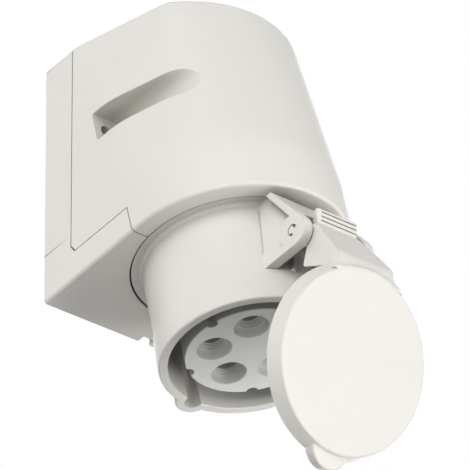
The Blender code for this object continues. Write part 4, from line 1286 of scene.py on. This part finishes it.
@dataclass
class Lid:
    """The hinged lid: a drafted disc with a cup behind, a neck, a grip tab and a key lug."""

    face: float = 47.4
    rim_level: float = 41.0
    section: tuple[Point, ...] = (
        (0.0, 47.4), (31.5, 47.4), (33.2, 41.0), (31.3, 41.0), (31.2, 45.0), (26.3, 45.0),
        (26.1, 43.4), (25.1, 43.4), (24.9, 45.0), (0.0, 45.0),
    )
    cup: float = 31.2
    cup_level: float = 43.3
    neck_half: float = 11.7
    neck_start: float = 25.9
    neck_front: tuple[Place, ...] = (
        (25.9, 47.2, 8.9), (30.0, 44.45, 10.4), (33.3, 42.2, 11.6), (36.0, 40.4, 12.1),
        (37.9, 39.1, 12.4), (39.4, 38.1, 12.6), (41.0, 37.0, 12.8), (42.4, 36.0, 12.7),
        (43.6, 35.2, 12.5), (44.4, 34.6, 12.4), (45.3, 33.8, 12.3), (46.2, 32.9, 12.1),
        (47.1, 32.0, 11.9),
    )
    neck_root: float = 28.22
    neck_bend: float = 43.6
    neck_circle: float = 31.75
    neck_edge: float = 0.8
    flare: float = 5.0
    flare_start: Point = (35.0, 38.0)
    flare_run: Point = (8.0, 4.0)
    tab_half: float = 9.1
    knuckle: float = 3.6
    pin_hole: float = 2.2
    tab_tip: Point = (10.16, 2.38)
    tab_root: Point = (4.85, 3.8)
    tab_thickness: float = 2.0
    tab_round: float = 0.55
    tab_foot: Point = (45.5, 27.4)
    tab_margin: float = 1.7
    corner_round: float = 1.4
    grooves: int = 3
    groove_width: float = 0.55
    groove_depth: float = 0.65
    collar_clear: float = 32.9
    lug_radius: float = 8.4
    lug_place: Place = (-0.8, -29.0, 0.0)
    lug_top: float = 45.6

    def disc(self) -> BMesh:
        """The disc: flat face, rounded and drafted rim, and the cup behind with its ribs.

        Returns:
            The disc's shape.
        """
        bm = spun(self.section, 144)
        soften(bm, 0.8, 4, 40.0, at_level(self.face))
        return soften(bm, 0.4, 3, 40.0, at_level(self.rim_level))

    def neck_side(self, y: float, level: float) -> float:
        """The neck's half-width at a point of its side.

        Args:
            y: The point's y.
            level: Its level.

        Returns:
            The half-width, from the outer edge's width at this y.
        """
        rows = self.neck_front
        outer_level, outer_half = rows[0][0] + 1.0, rows[0][2]
        for (level_a, y_a, half_a), (level_b, y_b, half_b) in zip(rows, rows[1:]):
            if y <= y_a:
                along = min((y_a - y) / (y_a - y_b), 1.0)
                outer_level = level_a + (level_b - level_a) * along
                outer_half = half_a + (half_b - half_a) * along
        rise = max(outer_level - self.neck_start, 1.0)
        share = min(max((level - self.neck_start) / rise, 0.0), 1.0)
        half = self.neck_half + (outer_half - self.neck_half) * share
        inward = max(self.flare_start[0] - y, 0.0) / self.flare_run[0]
        ease = min(max((level - self.flare_start[1]) / self.flare_run[1], 0.0), 1.0)
        return half + self.flare * inward ** 2 * ease ** 2 * (3.0 - 2.0 * ease)

    def neck(self) -> BMesh:
        """The neck, in sections whose outer edge bends from a line to the disc's circle.

        Returns:
            The neck's shape.
        """
        inner = self.neck_root
        top = self.neck_front[-1][0]
        loops = []
        for level, front, half in self.neck_front:
            bend = max((level - self.neck_bend) / (top - self.neck_bend), 0.0)
            corner = mixed((half, front), (half, sqrt(self.neck_circle ** 2 - half ** 2)),
                           bend)
            side = []
            for share in (0.0, 0.3, 0.5, 0.66, 0.8, 0.91):
                y = inner + (corner[1] - inner) * share
                side.append(Vector((self.neck_side(y, level), y, level)))
            for share in (1.0, 0.8, 0.6, 0.4, 0.2):
                x = half * share
                y = mixed((front,), (sqrt(self.neck_circle ** 2 - x ** 2),), bend)[0]
                side.append(Vector((x, y, level)))
            middle = Vector((0.0, mixed((front,), (self.neck_circle,), bend)[0], level))
            loops.append(side + [middle] + [Vector((-x, y, z)) for x, y, z in reversed(side)])
        return grown_loops(loops)

    def tab_outline(self) -> list[Point]:
        """The grip tab in (y, z), rooted on the knuckle.

        Returns:
            The outline's (y, z) points.
        """
        tip = (PIN_Y + self.tab_tip[0], PIN_LEVEL + self.tab_tip[1])
        root = (PIN_Y + self.tab_root[0], PIN_LEVEL + self.tab_root[1])
        slope = atan2(root[1] - tip[1], tip[0] - root[0])
        under = (tip[0] - self.tab_thickness * sin(slope),
                 tip[1] - self.tab_thickness * cos(slope))
        low = (PIN_Y + self.knuckle * 0.9, under[1] + 0.4)
        return [(PIN_Y, PIN_LEVEL), low, under, tip, root, self.tab_foot,
                (PIN_Y, self.tab_foot[1])]

    def tab_grooves(self) -> list[BMesh]:
        """The grip grooves across the tab's outer face, short of its ends.

        Returns:
            The grooves' cutters.
        """
        tip, root = self.tab_outline()[3:5]
        slope = atan2(root[1] - tip[1], root[0] - tip[0])
        half = self.groove_width / 2
        outline = [(-half, -self.groove_depth), (half, -self.groove_depth), (half, 1.0),
                   (-half, 1.0)]
        tools = []
        for index in range(self.grooves):
            spot = mixed(tip, root, (index + 0.75) / (self.grooves + 0.5))
            lie = (Matrix.Translation((0.0, *spot)) @ Matrix.Rotation(slope - pi, 4, "X")
                   @ ALONG_X)
            tools.append(plate(outline, self.tab_margin - self.tab_half, self.tab_half + 1.0,
                               lie))
        return tools

    def lug(self) -> BMesh:
        """The lug that covers the collar's keyway bulge.

        Returns:
            The lug's shape.
        """
        place = Matrix.Translation(self.lug_place)
        shape = rod(self.lug_radius, self.rim_level, self.lug_top, 72, place)
        return soften(shape, 0.8, 4, 60.0)

    def clearance(self) -> BMesh:
        """The room for the collar's rim, which flares under the neck's rounded corner.

        Returns:
            The room's shape.
        """
        clear, flare, low = self.collar_clear, self.corner_round, self.neck_start
        bend = arc((clear + flare, low + flare), flare, -pi / 2, -pi, 6)
        top = self.rim_level - 0.4
        return spun([(0.0, -5.0), (clear + flare, -5.0), *bend, (clear, top), (0.0, top)], 128)

    def build(self) -> None:
        """Build the lid in one piece."""
        neck = soften(self.neck(), self.neck_edge, 4, 40.0)
        knuckle = rod(self.knuckle, -self.neck_half, self.neck_half, 48, PIN_AXIS)
        tab = plate(self.tab_outline(), -self.tab_half, self.tab_half, ALONG_X)
        soften(tab, self.tab_round, 3, 50.0)
        lid = worked(self.disc(), [
            *each(Work.JOIN, neck, self.lug(), knuckle, tab),
            *each(Work.CUT, self.clearance(), rod(self.cup, 30.0, self.cup_level, 128),
                  rod(self.pin_hole, -30.0, 30.0, 40, PIN_AXIS), *self.tab_grooves()),
        ])
        piece("hinged_lid", lid, "lid", lie=OPEN_LID, body=Body.LID, crease=32.0)


# ---- fittings


@dataclass
class Fittings:
    """The small bought parts: cover screws, cable grommet, gasket and sealing rings."""

    seat_y: float = -15.0
    screw_length: float = 15.5
    head: tuple[Point, ...] = (
        (0.0, -1.8), (1.2, -1.76), (1.9, -1.45), (2.25, -0.8), (2.3, 0.0), (1.6, 0.0), (1.6, 3.0),
    )
    thread_start: float = 3.0
    thread_pitch: float = 0.7
    thread_root: float = 1.28
    thread_crest: float = 1.6
    recess: float = 1.45
    recess_half: float = 0.36
    recess_depth: float = -0.75
    grommet_z: float = 21.0
    grommet: tuple[Point, ...] = (
        (0.0, -0.9), (2.2, -0.9), (2.4, -1.2), (2.7, -1.2), (2.9, -0.9), (4.7, -0.9),
        (4.9, -1.2), (5.2, -1.2), (5.4, -0.9), (7.3, -0.9), (8.5, -0.3), (9.4, -0.3),
        (9.7, -0.6), (9.7, -2.9), (12.1, -2.9), (12.3, -3.1), (12.3, -4.2), (12.1, -4.4),
        (8.5, -4.4), (7.3, -2.1), (0.0, -2.1),
    )
    gasket: tuple[Point, ...] = (
        (31.0, 44.7), (28.3, 44.7), (28.3, 41.3), (28.5, 40.9), (28.9, 40.7), (29.4, 40.7),
        (29.65, 41.0), (29.9, 40.7), (30.4, 40.7), (30.8, 40.9), (31.0, 41.3),
    )
    seal_ring: tuple[Point, ...] = (
        (35.8, -2.9), (37.8, -2.9), (38.1, -3.2), (38.1, -4.1), (37.8, -4.4), (35.8, -4.4),
        (35.5, -4.1), (35.5, -3.2),
    )

    def screw(self, side: int) -> BMesh:
        """A cover screw with a pan head, a cross recess and a thread.

        Args:
            side: 1 for the right, -1 for the left.

        Returns:
            The screw's shape.
        """
        line, level = list(self.head), self.thread_start
        while level < self.screw_length - 2.0:
            line += [(self.thread_root, level + self.thread_pitch / 2),
                     (self.thread_crest, level + self.thread_pitch)]
            level += self.thread_pitch
        line += [(0.3, self.screw_length), (0.0, self.screw_length)]
        cuts = []
        for across, along in ((self.recess, self.recess_half), (self.recess_half, self.recess)):
            outline = [(-across, -along), (across, -along), (across, along), (-across, along)]
            cuts.append(plate(outline, -3.0, self.recess_depth))
        made = worked(spun(line, 40), each(Work.CUT, *cuts))
        made.transform(Housing().screw_axis(side, self.seat_y))
        return made

    def build(self) -> None:
        """Build the fittings."""
        for side, name in zip(SIDES, ("left", "right")):
            piece(f"pan_screw_{name}", self.screw(side), f"cover_screw_{name}", SCREW_STEEL)
        in_wall = (WALL_FACE @ Matrix.Translation((0.0, 0.0, self.grommet_z))
                   @ Matrix.Rotation(-pi / 2, 4, "X"))
        piece("ringed_grommet", spun(self.grommet, 72), "cable_grommet", SEAL_RUBBER, in_wall)
        piece("lipped_gasket", spun(self.gasket, 144), "lid_gasket", SEAL_RUBBER, OPEN_LID,
              Body.LID)
        piece("rounded_seal_ring", spun(self.seal_ring, 144), "collar_seal_ring", SEAL_RUBBER)


# ---- studio


@dataclass(frozen=True)
class Lamp:
    """A square soft light that looks at the socket.

    Its azimuth is 0 degrees in front of the wall and 90 to the right, and its power is in watts.
    """

    name: str
    azimuth: float
    elevation: float
    power: float
    distance: float = 2.2
    size: float = 1.6


@dataclass
class Studio:
    """The floor, the light and the camera that looks up at the socket from its left."""

    azimuth: float = radians(-43.1935)
    elevation: float = radians(-26.1793)
    distance: float = 3298.5
    shift_right: float = 1.113
    shift_up: float = 8.877
    frame_width: float = 158.69
    target: Place = (0.0, -47.8, -31.45)
    floor_level: float = -1.62
    floor_radius: float = 9.0
    floor_colour: Colour = (0.62, 0.62, 0.62)
    world_strength: float = 0.1
    lamps: tuple[Lamp, ...] = (
        Lamp("key", -60.0, 10.0, 30.5), Lamp("low_fill", 32.0, -38.0, 40.0),
        Lamp("front_fill", 20.0, -20.0, 7.0), Lamp("high_fill", -45.0, 30.0, 8.0),
        Lamp("left_rim", -135.0, 20.0, 9.5), Lamp("right_rim", 140.0, 15.0, 16.0),
    )

    def camera(self) -> None:
        """Set the camera at the photograph's view."""
        cos_a, sin_a = cos(self.azimuth), sin(self.azimuth)
        cos_e, sin_e = cos(self.elevation), sin(self.elevation)
        right = Vector((cos_a, sin_a, 0.0))
        up = Vector((-sin_a * sin_e, cos_a * sin_e, cos_e))
        back = Vector((sin_a * cos_e, -cos_a * cos_e, sin_e))
        spot = Vector(self.target) + right * self.shift_right + up * self.shift_up
        spot += back * self.distance
        data = bpy.data.cameras.new("camera")
        data.sensor_width = 36.0
        data.lens = data.sensor_width * self.distance / self.frame_width
        data.clip_start = 0.1
        data.clip_end = 40.0
        made = placed("camera", data)
        turn = Matrix((right, up, back)).transposed().to_4x4()
        made.matrix_world = Matrix.Translation(spot * MM) @ turn
        bpy.context.scene.camera = made

    def floor(self) -> None:
        """Lay a pale floor well below the socket."""
        bm = bmesh.new()
        bmesh.ops.create_circle(bm, cap_ends=True, segments=64, radius=self.floor_radius)
        bmesh.ops.translate(bm, vec=(0.0, 0.0, self.floor_level), verts=bm.verts)
        paint = bpy.data.materials.new("floor_paint")
        tree = Tree(paint)
        shader = tree.nodes["Principled BSDF"]
        tree.feed(shader, {"Base Color": (*self.floor_colour, 1.0), "Roughness": 0.9})
        top = tree.choice(tree.seen(), shader.outputs["BSDF"], tree.add("Emission", 0))

        # Its underside lets the camera look through, for views from below
        below = tree.add("Math", 0, {0: tree.add("NewGeometry", "Backfacing"),
                                     1: tree.add("LightPath", "Is Camera Ray")}, "MULTIPLY")
        both = tree.choice(below, top, tree.add("BsdfTransparent", 0))
        tree.feed(tree.nodes["Material Output"], {"Surface": both})
        placed("floor", mesh_of("floor", bm, [paint]))

    def world(self) -> None:
        """Give an even pale light from all round, and white behind the object."""
        made = bpy.data.worlds.new("studio")
        tree = Tree(made)
        ambient, white = (
            tree.add("Background", 0, {"Color": (1.0, 1.0, 1.0, 1.0), "Strength": strength})
            for strength in (self.world_strength, 1.0)
        )
        both = tree.choice(tree.seen(), ambient, white)
        tree.feed(tree.nodes["World Output"], {"Surface": both})
        bpy.context.scene.world = made

    def hang(self, lamp: Lamp) -> None:
        """Hang a lamp.

        Args:
            lamp: The lamp.
        """
        data = bpy.data.lights.new(lamp.name, "AREA")
        data.shape = "SQUARE"
        data.size = lamp.size
        data.energy = lamp.power
        made = placed(lamp.name, data)
        turn, rise = radians(lamp.azimuth), radians(lamp.elevation)
        away = Vector((sin(turn) * cos(rise), -cos(turn) * cos(rise), sin(rise)))
        made.location = Vector(self.target) * MM + away * lamp.distance
        made.rotation_euler = away.to_track_quat("Z", "Y").to_euler()
        made.visible_camera = False

    def build(self) -> None:
        """Set up the whole studio."""
        self.camera()
        self.floor()
        self.world()
        for lamp in self.lamps:
            self.hang(lamp)
        bpy.context.scene.view_settings.view_transform = "Standard"


@dataclass
class ModelNodes:
    """The CAD nodes that are shown as they are, and their finishes."""

    finishes: dict[str, Finish] = field(default_factory=lambda: {
        "insert_lock_ring": INSERT_PLASTIC,
        **{f"contact_sleeve_{pole}": SLEEVE_BRASS for pole in POLES},
        **{f"terminal_screw_{pole}": SCREW_STEEL for pole in POLES},
    })

    def dress(self) -> None:
        """Give every CAD node its finish."""
        for name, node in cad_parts.items():
            finish = self.finishes.get(name, HOUSING_PLASTIC)
            node.data.materials.clear()
            node.data.materials.append(finish.material())


def main() -> None:
    """Build the studio and every piece of the socket."""
    logging.basicConfig(level=logging.INFO, format="%(name)s: %(message)s")
    Studio().build()
    ModelNodes().dress()
    Housing().build()
    Collar().build()
    ContactInsert().build()
    Lid().build()
    Fittings().build()


if __name__ == "__main__":
    main()
